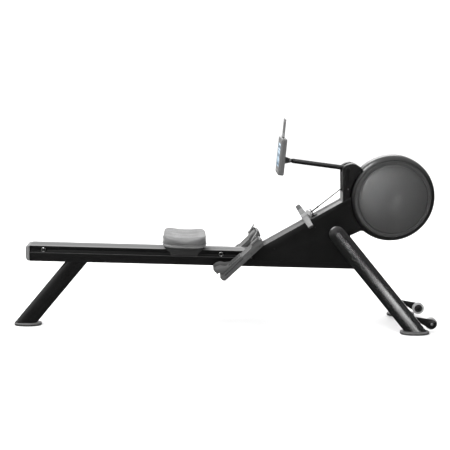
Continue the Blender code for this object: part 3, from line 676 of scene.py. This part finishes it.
def leg(name, node, top, end, flat=None):
    """An oval tube from its top, domed or cut along a plane, to a foot on the floor."""
    top, end = Vector(top), Vector(end)
    axis = (end - top).normalized()
    along_y = Vector((0, 1, 0)) - axis * axis.y
    along_y.normalize()
    across = along_y.cross(axis)
    section = [across * u + along_y * v for u, v in superellipse(0.0455, 0.022, 72)]

    def onto(point, normal, through):
        return point + axis * ((through - point).dot(normal) / axis.dot(normal))

    rings = [[onto(end + spoke, Vector((0, 0, 1)), end) for spoke in section]]
    for share in (0.93, 0.73, 0.48, 0.23):
        centre = top.lerp(end, share)
        rings.append([centre + spoke for spoke in section])
    if flat is not None:
        rings.append([onto(top + spoke, flat, top) for spoke in section])
    else:
        rings.append([top + spoke for spoke in section])
        for step in range(1, 14):
            turn = math.radians(90 * step / 14)
            centre = top - axis * (0.0455 * math.sin(turn))
            rings.append([centre + spoke * math.cos(turn) for spoke in section])
        rings.append([top - axis * 0.0455])
    return stand_for(link(name, loft(rings), BLACK_GLOSS, 50), node)


def foot(node, x, y, length, width):
    """Plate with a rolled edge, and a sole whose edge has moulded ribs."""
    count = 144

    def ring(shrink, z, ribs=0.0):
        points = []
        for k, (a, b) in enumerate(superellipse(length / 2 - shrink, width / 2 - shrink, count, 2.3)):
            pull = 1 - (ribs / 0.06 if k % 4 < 2 else 0)
            points.append((x + a * pull, y + b * pull, z))
        return points

    sole = [ring(*row) for row in
            ((0.004, 0.0), (0.0010, 0.0016, 0.0009), (0.0002, 0.0030, 0.0012), (0.0002, 0.0072, 0.0012),
             (0.0010, 0.0086, 0.0006), (0.002, 0.0090))]
    stand_for(link(f"{node}_sole", loft(sole), SOLE, 40), f"{node}_pad")
    plate = [ring(*row) for row in
             ((0.0012, 0.0094), (0.0001, 0.0104), (0.0001, 0.0122), (0.0010, 0.0138), (0.0028, 0.0148),
              (0.0060, 0.0150))]
    stand_for(link(f"{node}_plate", loft(plate), PLATE, 50), node)


def make_stand():
    x, z = rail_point(-0.7700, -0.0824)
    up = Vector((math.sin(RAIL_TILT), 0, math.cos(RAIL_TILT)))
    leg("rear_leg_tube", "rear_leg", (x, 0, z), (-1.0550, 0, 0.0154), up)
    foot("rear_foot", -1.0450, 0.0, 0.146, 0.070)
    for word, side in SIDES.items():
        leg(f"front_leg_{word}_tube", f"front_leg_{word}", (0.5815, side * 0.079, 0.5150),
            (0.9975, side * 0.158, 0.0154))
        foot(f"front_foot_{word}", 0.9950, side * 0.160, 0.154, 0.076)
        make_wheel(word, side)


def make_wheel(word, side):
    y = side * WHEEL_Y
    flank = [(0.0222, 0.0092), (0.0262, WHEEL_HALF), (0.0296, 0.0104), (0.0315, 0.0084)]
    tread = []
    for k in range(5):
        middle = y - 0.0068 + 0.0034 * k
        tread += [(0.0320, middle - 0.0012), (0.0320, middle + 0.0008),
                  (0.0312, middle + 0.0013), (0.0312, middle + 0.0018)]
    tyre = ([(r, y - dy) for r, dy in flank] + tread[:-2] + [(r, y + dy) for r, dy in flank[::-1]]
            + [(0.0216, y + 0.004), (0.0216, y - 0.004)])
    stand_for(link(f"wheel_{word}_tyre", turned(tyre, WHEEL, 72), TYRE), f"transport_wheel_{word}")
    half_hub = [(0.0054, WHEEL_HALF), (0.0098, WHEEL_HALF), (0.0112, 0.0092), (0.0118, 0.0055),
                (0.0185, 0.0055), (0.0195, 0.0078), (0.0219, 0.0086)]
    hub = [(r, y - dy) for r, dy in half_hub] + [(r, y + dy) for r, dy in half_hub[::-1]]
    core = link(f"wheel_{word}_hub", turned(hub, WHEEL, 60), DARK)
    for k in range(6):
        window = (arc(WHEEL, 0.0180, 60 * k - 17, 60 * k + 17, 5)
                  + arc(WHEEL, 0.0126, 60 * k + 13, 60 * k - 13, 4))
        cut(core, prism(window, y - 0.012, y + 0.012))
    detail(applied(bevelled(core, 0.0004, 1)), f"transport_wheel_{word}")
    finished(f"wheel_bracket_{word}", BLACK, 0.0010, 2)
    face = side * (WHEEL_Y + 0.0195)
    screw_head(f"wheel_{word}_bolt", (WHEEL[0], face, WHEEL[1]), (0, side, 0), 0.0072, ZINC,
               f"wheel_bracket_{word}", 0.0036)


# --- body, mast and fan ---
def make_body():
    screws = ((0.7000, 0.5440, 0.0040), (0.6420, 0.6600, 0.0034), (0.2600, 0.4300, 0.0034),
              (0.4700, 0.5450, 0.0034), (0.6500, 0.3900, 0.0040), (0.3000, 0.3650, 0.0034))
    for word, side in SIDES.items():
        node = f"side_panel_{word}"
        finished(node, PANEL, 0.0016, 3)
        for k, (x, z, r) in enumerate(screws):
            place = (x, side * PANEL_FACE, z)
            screw_head(f"panel_{word}_screw_{k}", place, (0, side, 0), r, BLACK, node, 0.0016)
    right_half = [(SPINE_HALF, -0.0044), (SPINE_HALF, -0.0016), (SPINE_HALF - 0.0012, -0.0002),
                  (0.0260, 0.0), (0.0245, -0.0010)]
    section = [(-y, dz) for y, dz in right_half] + right_half[::-1]
    rings = [[(x, y, spine_z(x) + dz) for y, dz in section] for x in (SPINE_START, SPINE_END)]
    stand_for(link("top_cover_moulding", loft(rings), COVER), "top_cover")
    finished("mast", PANEL, 0.0022, 3)
    finished("handle_rest", BLACK, 0.0008, 2)
    finished("cord_grommet", BUMPER, 0.0005, 2)
    strip = [(0.6113, 0.6080), (0.6121, 0.6080), (0.6114, 0.7280), (0.6104, 0.7280)]
    detail(link("mast_strip", prism(strip, -0.0360, 0.0360), LIGHT), "mast")


def make_fan():
    for word, side in SIDES.items():
        shell = [(0.2260, 0.0003), (0.2256, 0.0008), (0.2244, 0.0012), (0.2244, 0.0020), (0.2256, 0.0024),
                 (0.2260, 0.0030), (0.2260, 0.0190), (0.2254, 0.0262), (0.2235, 0.0330), (0.2202, 0.0392),
                 (0.2156, 0.0447), (0.2102, 0.0492), (0.2052, 0.0521), (0.2034, 0.0530), (0.2020, 0.0530),
                 (0.2014, 0.0524), (0.2012, 0.0508), (0.1700, 0.0508), (0.1700, 0.0500), (0.2015, 0.0500),
                 (0.2075, 0.0470), (0.2152, 0.0390), (0.2206, 0.0285), (0.2228, 0.0180), (0.2228, 0.0003)]
        piece = link(f"fan_{word}_shell", turned([(r, side * y) for r, y in shell], FAN, 160), SHELL, 28)
        notch = [(0.6300, 0.7440), (0.6300, 0.7720), (0.6760, 0.7680), (0.6760, 0.7400)]
        cut(piece, prism(notch, -0.0080, 0.0080))
        piece.data.set_sharp_from_angle(angle=math.radians(28))
        stand_for(piece, f"fan_shell_{word}")
        ring = [(0.1821, 0.0534), (0.1998, 0.0534), (0.2000, 0.0552), (0.1990, 0.0568), (0.1972, 0.0577),
                (0.1966, 0.0571), (0.1866, 0.0571), (0.1860, 0.0577), (0.1838, 0.0576), (0.1825, 0.0566)]
        stand_for(link(f"fan_{word}_ring", turned([(r, side * y) for r, y in ring], FAN, 144), RING, 40),
                  f"cover_ring_{word}")
        mesh = bmesh.new()
        rib = ((0.1870, -0.0009), (0.1962, -0.0009), (0.1962, 0.0009), (0.1870, 0.0009))
        for k in range(120):
            c, s = math.cos(math.radians(3 * k)), math.sin(math.radians(3 * k))
            section = [(FAN[0] + r * c - t * s, FAN[1] + r * s + t * c) for r, t in rib]
            add_block(mesh, *([(x, side * y, z) for x, z in section] for y in (0.0569, 0.0576)))
        detail(link(f"fan_{word}_ribs", mesh, RING), f"cover_ring_{word}")
        disc = [(0, 0.0597), (0.0160, 0.0597), (0.0175, 0.0599), (0.0190, 0.0601), (0.0600, 0.0600),
                (0.1000, 0.0597), (0.1400, 0.0591), (0.1640, 0.0584), (0.1705, 0.0581), (0.1717, 0.0573),
                (0.1729, 0.0573), (0.1741, 0.0579), (0.1788, 0.0574), (0.1803, 0.0566), (0.1807, 0.0556),
                (0.1807, 0.0534), (0.0180, 0.0534), (0.0180, 0.0470), (0.0107, 0.0470), (0.0107, 0.0528),
                (0, 0.0528)]
        stand_for(link(f"fan_{word}_disc", turned([(r, side * y) for r, y in disc], FAN, 160), DISC, 25),
                  f"cover_disc_{word}")
        for k, turn in enumerate((52, 128, 232, 308, 0)):
            c, s = math.cos(math.radians(turn)), math.sin(math.radians(turn))
            place = (FAN[0] + SHELL_SCREW_RADIUS * c, side * 0.0390, FAN[1] + SHELL_SCREW_RADIUS * s)
            outward = (0.72 * c, side * 0.69, 0.72 * s)
            screw_head(f"fan_{word}_screw_{k}", place, outward, 0.0030, BLACK, f"fan_shell_{word}", 0.0014)
    for node in ("fan_axle", "fan_wheel", "cord_reel", "guide_roller"):
        finished(node, STEEL if node in ("fan_axle", "cord_reel") else DARK, 0.0005, 1)


# --- cord and handle ---
def make_cord():
    nose = HANDLE + YOKE_REACH * REACH
    pull = (EXIT - nose).normalized()
    finished("inner_cord", CORD, 0.0001, 1)
    start = nose + pull * GAP
    length = (EXIT - start).length
    ends = [(0, CORD_RADIUS), (length, CORD_RADIUS)]
    cord = link("pull_cord_run", tube_between(start, EXIT, ends, 16), CORD)
    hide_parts("pull_cord")
    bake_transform(cord)
    rows = [(0.0004, 0.0036), (0.0020, 0.0042), (0.0400, 0.0036), (0.0412, 0.0048), (0.0435, 0.0056),
            (0.0475, 0.0056), (0.0498, 0.0048), (0.0506, 0.0026)]
    detail(link("cord_sleeve", tube_between(nose, EXIT, rows, 28), GRIP_END), "handle_yoke")


def make_handle():
    finished("handle_yoke", LIGHT, 0.0022, 3)
    for word, side in SIDES.items():
        tip = TIP * Vector((1, side, 1))
        rows = [(0.0370, 0.0120, 0.0020), (0.0371, 0.0150, 0.0042), (0.0378, 0.0164, 0.0054),
                (0.0392, 0.0171, 0.0060), (0.0430, 0.0172, 0.0060)]
        for k in range(30):
            y = 0.0470 + 0.0074 * k
            a, b = 0.0172 - 0.0042 * (y - 0.043) / 0.240, 0.0060 - 0.0008 * (y - 0.043) / 0.240
            groove = (a - 0.0007, b - 0.0007)
            rows += [(y, a, b), (y + 0.0008, *groove), (y + 0.0020, *groove), (y + 0.0028, a, b)]
        rows += [(0.2818, 0.0130, 0.0052), (0.2826, 0.0126, 0.0049), (0.2830, 0.0118, 0.0042)]
        rings = []
        for y, a, b in rows:
            centre = HANDLE.lerp(tip, y / TIP.y)
            rings.append([centre + REACH * p + LIFT * q for p, q in superellipse(a, b, 56, 2.8)])
        grip = link(f"grip_{word}_sleeve", loft(rings), GRIP, 40)
        grip.data.materials.append(GRIP_END.made)
        # The left grip takes the darker rubber from 0.17 m out to its tip, the right grip only on its end
        # cap.
        for face in grip.data.polygons:
            face.material_index = int(face.center.y > 0.1700 or face.center.y < -0.2822)
        stand_for(grip, f"handle_grip_{word}")


# --- console ---
def on_console(up, y, back):
    x, z = console_point(up, back)
    return x, y, z


def console_ring(up_low, up_high, back, half, radius):
    """A rounded rectangle on the console, this far back from its face."""
    corners = [(up_low, -half), (up_low, half), (up_high, half), (up_high, -half)]
    return [on_console(up, y, back) for up, y in rounded(corners, radius)]


def make_console():
    rows = [(0.0000, 0.0045), (0.0004, 0.0030), (0.0016, 0.0012), (0.0040, 0.0001), (0.0250, 0.0001),
            (0.0280, 0.0012), (0.0295, 0.0035), (0.0298, 0.0060)]
    rings = [console_ring(s, CONSOLE_HEIGHT - s, back, 0.0775 - s, 0.012) for back, s in rows]
    case = link("console_case_moulding", loft(rings), CASE, 30)
    cut(case, loft([console_ring(0.0400, 0.1600, back, 0.0580, 0.004) for back in (-0.01, 0.003)]))
    x, z = console_point(0.020, 0.0)
    inward = Vector((math.cos(CONSOLE_LEAN), 0, -math.sin(CONSOLE_LEAN)))
    face = Vector((x, 0, z))
    cut(case, tube_between(face - inward * 0.01, face + inward * 0.008, [(0, 0.0104), (0.018, 0.0104)], 32))
    stand_for(applied(case, 30), "console_case")
    frame_rings = [console_ring(0.0300, 0.1700, back, 0.0680, 0.006) for back in (-0.0003, 0.0010)]
    bezel = link("console_bezel", loft(frame_rings), BEZEL)
    cut(bezel, loft([console_ring(0.0400, 0.1600, back, 0.0580, 0.004) for back in (-0.01, 0.004)]))
    detail(applied(bezel), "console_case")
    glass = [console_ring(0.0405, 0.1595, back, 0.0575, 0.0038) for back in (0.0006, 0.0026)]
    stand_for(link("console_glass", loft(glass), SCREEN), "console_screen")
    mesh = bmesh.new()
    marks = [(0.048, 0.0052 + 0.0035 * ((k * 7) % 5), -0.046 + 0.0095 * k, 0.0062) for k in range(10)]
    marks += [(0.088, 0.0170, -0.046, 0.012), (0.088, 0.0170, -0.028, 0.012), (0.088, 0.0170, 0.004, 0.012),
              (0.088, 0.0170, 0.022, 0.012), (0.120, 0.0035, -0.046, 0.092), (0.134, 0.0140, -0.046, 0.030),
              (0.134, 0.0140, -0.008, 0.022), (0.134, 0.0140, 0.022, 0.024)]
    for up, tall, y, wide in marks:
        corners = [(up, y), (up, y + wide), (up + tall, y + wide), (up + tall, y)]
        add_block(mesh, *([on_console(u, v, back) for u, v in corners] for back in (0.0008, 0.0003)))
    detail(link("console_bars", mesh, INK), "console_screen")
    front = face - inward * 0.0020
    button = [(0, 0.0), (0, 0.0070), (0.0004, 0.0088), (0.0014, 0.0098), (0.0026, 0.0100), (0.0078, 0.0100),
              (0.0078, 0.0)]
    cap = link("console_button_cap", tube_between(front, front + inward, button, 48), LIGHT, 30)
    stand_for(cap, "console_button")
    rows = [(0, 0.0), (0, 0.0052), (0.0006, 0.0062), (0.0012, 0.0064), (0.0016, 0.0064), (0.0016, 0.0)]
    for word, side in SIDES.items():
        for k, y in enumerate((0.026, 0.046)):
            start = Vector((x, side * y, z)) - inward * 0.0011
            key = link(f"console_{word}_pad_{k}", tube_between(start, start + inward, rows, 32), LIGHT, 30)
            detail(key, "console_case")
    seam = [console_ring(-0.0002, CONSOLE_HEIGHT + 0.0002, back, 0.0777, 0.012) for back in (0.0150, 0.0156)]
    detail(link("console_seam", loft(seam), DARK), "console_case")
    finished("console_bracket", DARK, 0.0008, 2)
    finished("console_pin", ZINC, 0.0005, 1)
    finished("arm_pin", BLACK, 0.0005, 1)
    for word, side in SIDES.items():
        outward = (0, side, 0)
        screw_head(f"console_pin_{word}_head", (0.3340, side * 0.0160, 0.8890), outward, 0.0066, ZINC,
                   "console_pin", 0.0030)
        screw_head(f"arm_pin_{word}_head", (0.6420, side * 0.0502, 0.8490), outward, 0.0075, PANEL,
                   "arm_pin", 0.0030)
    finished("console_arm", BLACK_GLOSS, 0.0006, 2, 40)
    top = CONSOLE_HEIGHT + GAP
    plate = [(top, 0.0130), (top + 0.0062, 0.0082), (top + 0.0090, 0.0130), (top + 0.0960, 0.0130),
             (top + 0.0960, 0.0165), (top, 0.0165)]
    holder = link("phone_holder_plate", prism([console_point(*p) for p in plate], -0.0450, 0.0450), CASE)
    corners = ((top + 0.022, 0.0), (top + 0.022, 0.03), (top + 0.078, 0.03), (top + 0.078, 0.0))
    window = [console_point(u, b) for u, b in corners]
    for y in (-0.0200, 0.0200):
        cut(holder, prism(window, y - 0.0120, y + 0.0120))
    stand_for(applied(bevelled(holder, 0.0012, 3)), "phone_holder")


# --- footrests ---
def make_footrests():
    base = (arc((0.016, 0.016), 0.016, 180, 270, 12) + arc((0.272, 0.014), 0.014, 270, 360, 10)
            + [(0.2880, 0.030), (0.2830, 0.036), (0.2260, 0.036), (0.2245, FOOT_TOP)]
            + arc((0.006, FOOT_TOP - 0.006), 0.006, 90, 180, 6))
    slit = arc((0.030, 0.0225), 0.0022, 90, 270, 6) + arc((0.153, 0.0225), 0.0022, -90, 90, 6)
    socket = foot_point(BAR_ALONG, BAR_ABOVE)
    for word, side in SIDES.items():
        node = f"footrest_{word}"
        slab = prism([foot_point(*p) for p in base], *span(side, FOOT_IN, FOOT_OUT))
        rest = link(f"footrest_{word}_slab", slab, MID)
        cut(rest, prism([foot_point(*p) for p in slit], *span(side, 0.144, 0.160)))
        cut(rest, rod(socket, 0.0104, *span(side, 0.038, 0.1404)))
        for k in range(5):
            at = 0.168 + 0.0105 * k
            groove = ((at, -0.0012), (at + 0.004, -0.0012), (at + 0.004, 0.01), (at, 0.01))
            groove = [foot_point(along, FOOT_TOP + above) for along, above in groove]
            cut(rest, prism(groove, *span(side, 0.066, 0.142)))
        stand_for(applied(bevelled(rest, 0.0014, 2)), node)
        for k, at in enumerate((0.030, 0.205, 0.262)):
            x, z = foot_point(at, 0.010)
            place = (x, side * FOOT_OUT, z)
            screw_head(f"footrest_{word}_screw_{k}", place, (0, side, 0), 0.0036, DARK, node, 0.0014)
        make_heel(word, side)
        make_strap(word, side)
    bar = link("footrest_bar", rod(socket, 0.0100, -0.1400, 0.1400, 40), ZINC)
    stand_for(applied(bevelled(bar, 0.001, 2)), "foot_crossbar")


def make_heel(word, side):
    floor = FOOT_TOP + 0.0010
    heel = [(0.0180, floor), (0.0165, 0.0500), (0.0025, 0.0550), (0.0035, 0.0850), (0.0150, 0.0885),
            (0.0285, 0.0870), (0.0470, 0.0780), (0.0590, 0.0600), (0.0830, 0.0400), (0.1550, 0.0370),
            (0.1560, floor)]
    pocket = [(0.0250, 0.0380), (0.0230, 0.0560), (0.0120, 0.0620), (0.0120, 0.1000), (0.1700, 0.1000),
              (0.1700, 0.0370)]
    inner, outer, wall = 0.061, 0.147, 0.005
    outline = [foot_point(*p) for p in rounded(heel, 0.0018, 3)]
    cup = link(f"heel_{word}_cup", prism(outline, *span(side, inner, outer)), MID_LIGHT)
    hollow = [foot_point(*p) for p in rounded(pocket, 0.0020, 3)]
    cut(cup, prism(hollow, *span(side, inner + wall, outer - wall)))
    low = FOOT_TOP + 0.0002
    for k in range(6):
        at = 0.072 + 0.014 * k
        groove = [foot_point(*p) for p in ((at, low), (at + 0.005, low), (at + 0.005, 0.05), (at, 0.05))]
        cut(cup, prism(groove, *span(side, 0.084, 0.124)))
    return stand_for(applied(bevelled(cup, 0.0010, 2)), f"heel_slider_{word}")


def make_strap(word, side):
    """The webbing band, the buckle on it, its loose tail and the clamp at its outer end."""
    foot_w, rise, thick = 0.0364, 0.0130, 0.0022
    low, high = 0.060, 0.148
    middle, half = (low + high) / 2, (high - low) / 2
    steps = 40

    def arch(k, less=0.0):
        turn = math.pi * k / steps
        return middle + (half - less) * math.cos(turn), foot_w + (rise - less) * math.sin(turn) ** 0.5

    def placed(y, along, above):
        x, z = foot_point(along, above)
        return x, side * y, z

    outer = [arch(k) for k in range(steps + 1)]
    inner = [arch(k, thick) for k in range(steps, -1, -1)]
    rings = []
    for along, edge in ((0.2380, 0.0004), (0.2390, 0.0), (0.2770, 0.0), (0.2780, 0.0004)):
        rings.append([placed(y, along, above - edge) for y, above in outer]
                     + [placed(y, along, above + edge) for y, above in inner])
    stand_for(link(f"strap_{word}_band", loft(rings), WEBBING, 50), f"toe_strap_{word}")
    plate = outer[15:26]
    rings = [[placed(y, along, above + 0.0003) for y, above in plate]
             + [placed(y, along, above + 0.0030) for y, above in plate[::-1]] for along in (0.2400, 0.2760)]
    buckle = bevelled(link(f"strap_{word}_buckle", loft(rings), MID_LIGHT), 0.0008, 2)
    detail(applied(buckle), f"toe_strap_{word}")
    tail = [foot_point(*p) for p in ((0.2480, 0.0512), (0.2960, 0.0640), (0.2954, 0.0664), (0.2470, 0.0536))]
    loose = prism(tail, side * middle - 0.017, side * middle + 0.017)
    detail(applied(bevelled(link(f"strap_{word}_tail", loose, STRAP_TAB), 0.0007)), f"toe_strap_{word}")
    tab = [foot_point(a, foot_w + n) for a, n in
           ((0.2340, 0.0002), (0.2820, 0.0002), (0.2800, 0.0125), (0.2360, 0.0125))]
    block = prism(tab, *span(side, high - 0.0062, high + 0.0016))
    clamp = bevelled(link(f"strap_{word}_clamp", block, MID), 0.0012, 2)
    detail(applied(clamp), f"footrest_{word}")


# --- seat ---
def seat_ring(shrink, w, count=96):
    """A rounded rectangle at this height over the rail."""
    points = []
    for a, b in superellipse(SEAT_HALF_U - shrink, SEAT_HALF_Y - shrink, count, 4.0):
        x, z = rail_point(SEAT_U + a, w)
        points.append((x, b, z))
    return points


def make_seat():
    rows = ((0.012, 0.0262), (0.0065, 0.0268), (0.0045, 0.0290), (0.0040, 0.0340), (0.0052, 0.0362),
            (0.0075, 0.0372), (0.0080, 0.0384))
    base = [seat_ring(shrink, w) for shrink, w in rows]
    stand_for(link("seat_base_tray", loft(base), BASE, 40), "seat_base")
    make_pad()
    finished("seat_carriage", CARRIAGE, 0.0016, 3)
    for end in ("front", "rear"):
        for word in SIDES:
            finished(f"seat_roller_{end}_{word}", DARK, 0.0006, 2)


def make_pad():
    rows = ((0.0045, 0.0392), (0.0020, 0.0402), (0.0008, 0.0430), (0.0006, 0.0520), (0.0006, 0.0620),
            (0.0012, 0.0705), (0.0028, 0.0748), (0.0058, 0.0768), (0.0105, 0.0774), (0.0300, 0.0775),
            (0.0500, 0.0775), (0.0750, 0.0775), (0.1000, 0.0775))
    pad = link("seat_cushion", loft([seat_ring(shrink, w) for shrink, w in rows]), VINYL, 60)
    puff(pad)
    shape_pad(pad)
    stand_for(pad, "seat_pad")
    piping("seat_piping", 0.0006, 0.0425)


def puff(pad):
    """Lets the cover swell under a little pressure, as vinyl stretched over foam does."""
    remesh = pad.modifiers.new("remesh", "REMESH")
    remesh.mode = "VOXEL"
    remesh.voxel_size = 0.005
    applied(pad, 60)
    before = np.array([v.co for v in pad.data.vertices])
    cloth = pad.modifiers.new("cloth", "CLOTH")
    cloth.settings.quality = 5
    cloth.settings.mass = 0.3
    cloth.settings.tension_stiffness = 40
    cloth.settings.compression_stiffness = 40
    cloth.settings.bending_stiffness = 2
    cloth.settings.use_pressure = True
    cloth.settings.uniform_pressure_force = 4.0
    cloth.settings.effector_weights.gravity = 0.0
    frames = 20
    cloth.point_cache.frame_start, cloth.point_cache.frame_end = 1, frames
    scene = bpy.context.scene
    for step in range(1, frames + 1):
        scene.frame_set(step)
    graph = bpy.context.evaluated_depsgraph_get()
    after = np.empty(len(before) * 3, np.float32)
    result = pad.evaluated_get(graph).to_mesh()
    result.vertices.foreach_get("co", after)
    after = after.reshape(-1, 3)
    pad.evaluated_get(graph).to_mesh_clear()
    pad.modifiers.clear()
    scene.frame_set(1)
    move = after - before
    size = np.linalg.norm(move, axis=1, keepdims=True)
    move *= np.minimum(1.0, PUFF_CAP / np.maximum(size, 1e-9))
    pad.data.vertices.foreach_set("co", (before + move).astype(np.float32).ravel())
    smooth = pad.modifiers.new("smooth", "CORRECTIVE_SMOOTH")
    smooth.use_only_smooth = True
    smooth.iterations = 6
    subdivide = pad.modifiers.new("subdivide", "SUBSURF")
    subdivide.levels = subdivide.render_levels = 1
    applied(pad, 60)


def shape_pad(pad):
    """Dishes the top and keeps the cushion between its tray and its full height."""
    c, s = math.cos(RAIL_TILT), math.sin(RAIL_TILT)
    co = np.array([v.co for v in pad.data.vertices])
    x, z = co[:, 0], co[:, 2] - RAIL_TOP
    u, w = x * c - z * s, x * s + z * c
    along = (u - SEAT_U) / SEAT_HALF_U
    across = co[:, 1] / SEAT_HALF_Y
    share = np.clip((w - PAD_LOW) / (PAD_HIGH - PAD_LOW), 0, 1)
    rise = 0.0105 * np.clip(np.abs(along), 0, 1) ** 2.2 - 0.0080 * (1 - np.clip(np.abs(along), 0, 1) ** 2)
    rise -= 0.0035 * np.exp(-(across / 0.16) ** 2) * (1 - along ** 2)
    w = np.clip(w + rise * share ** 1.5, PAD_LOW, PAD_HIGH)
    inset = 0.0005
    u = SEAT_U + np.clip(u - SEAT_U, inset - SEAT_HALF_U, SEAT_HALF_U - inset)
    y = np.clip(co[:, 1], inset - SEAT_HALF_Y, SEAT_HALF_Y - inset)
    x, z = u * c + w * s, -u * s + w * c
    pad.data.vertices.foreach_set("co", np.stack([x, y, z + RAIL_TOP], 1).astype(np.float32).ravel())
    pad.data.update()


def piping(name, shrink, w):
    """A thin welt sewn round the cushion's lower edge."""
    radius, sides = 0.0011, 8
    x, z = rail_point(SEAT_U, w)
    mesh = bmesh.new()
    rows = []
    for point in map(Vector, seat_ring(shrink, w, 160)):
        out = point - Vector((x, 0, z))
        out.z = 0
        out.normalize()
        turns = [2 * math.pi * k / sides for k in range(sides)]
        rows.append([mesh.verts.new(point + radius * (out * math.cos(a) + Vector((0, 0, math.sin(a)))))
                     for a in turns])
    for low, high in zip(rows, rows[1:] + rows[:1]):
        for k in range(sides):
            n = (k + 1) % sides
            mesh.faces.new((low[k], low[n], high[n], high[k]))
    return detail(link(name, mesh, SEAM, 60), "seat_pad")


make_stage()
make_rail()
make_stand()
make_body()
make_fan()
make_cord()
make_handle()
make_console()
make_footrests()
make_seat()
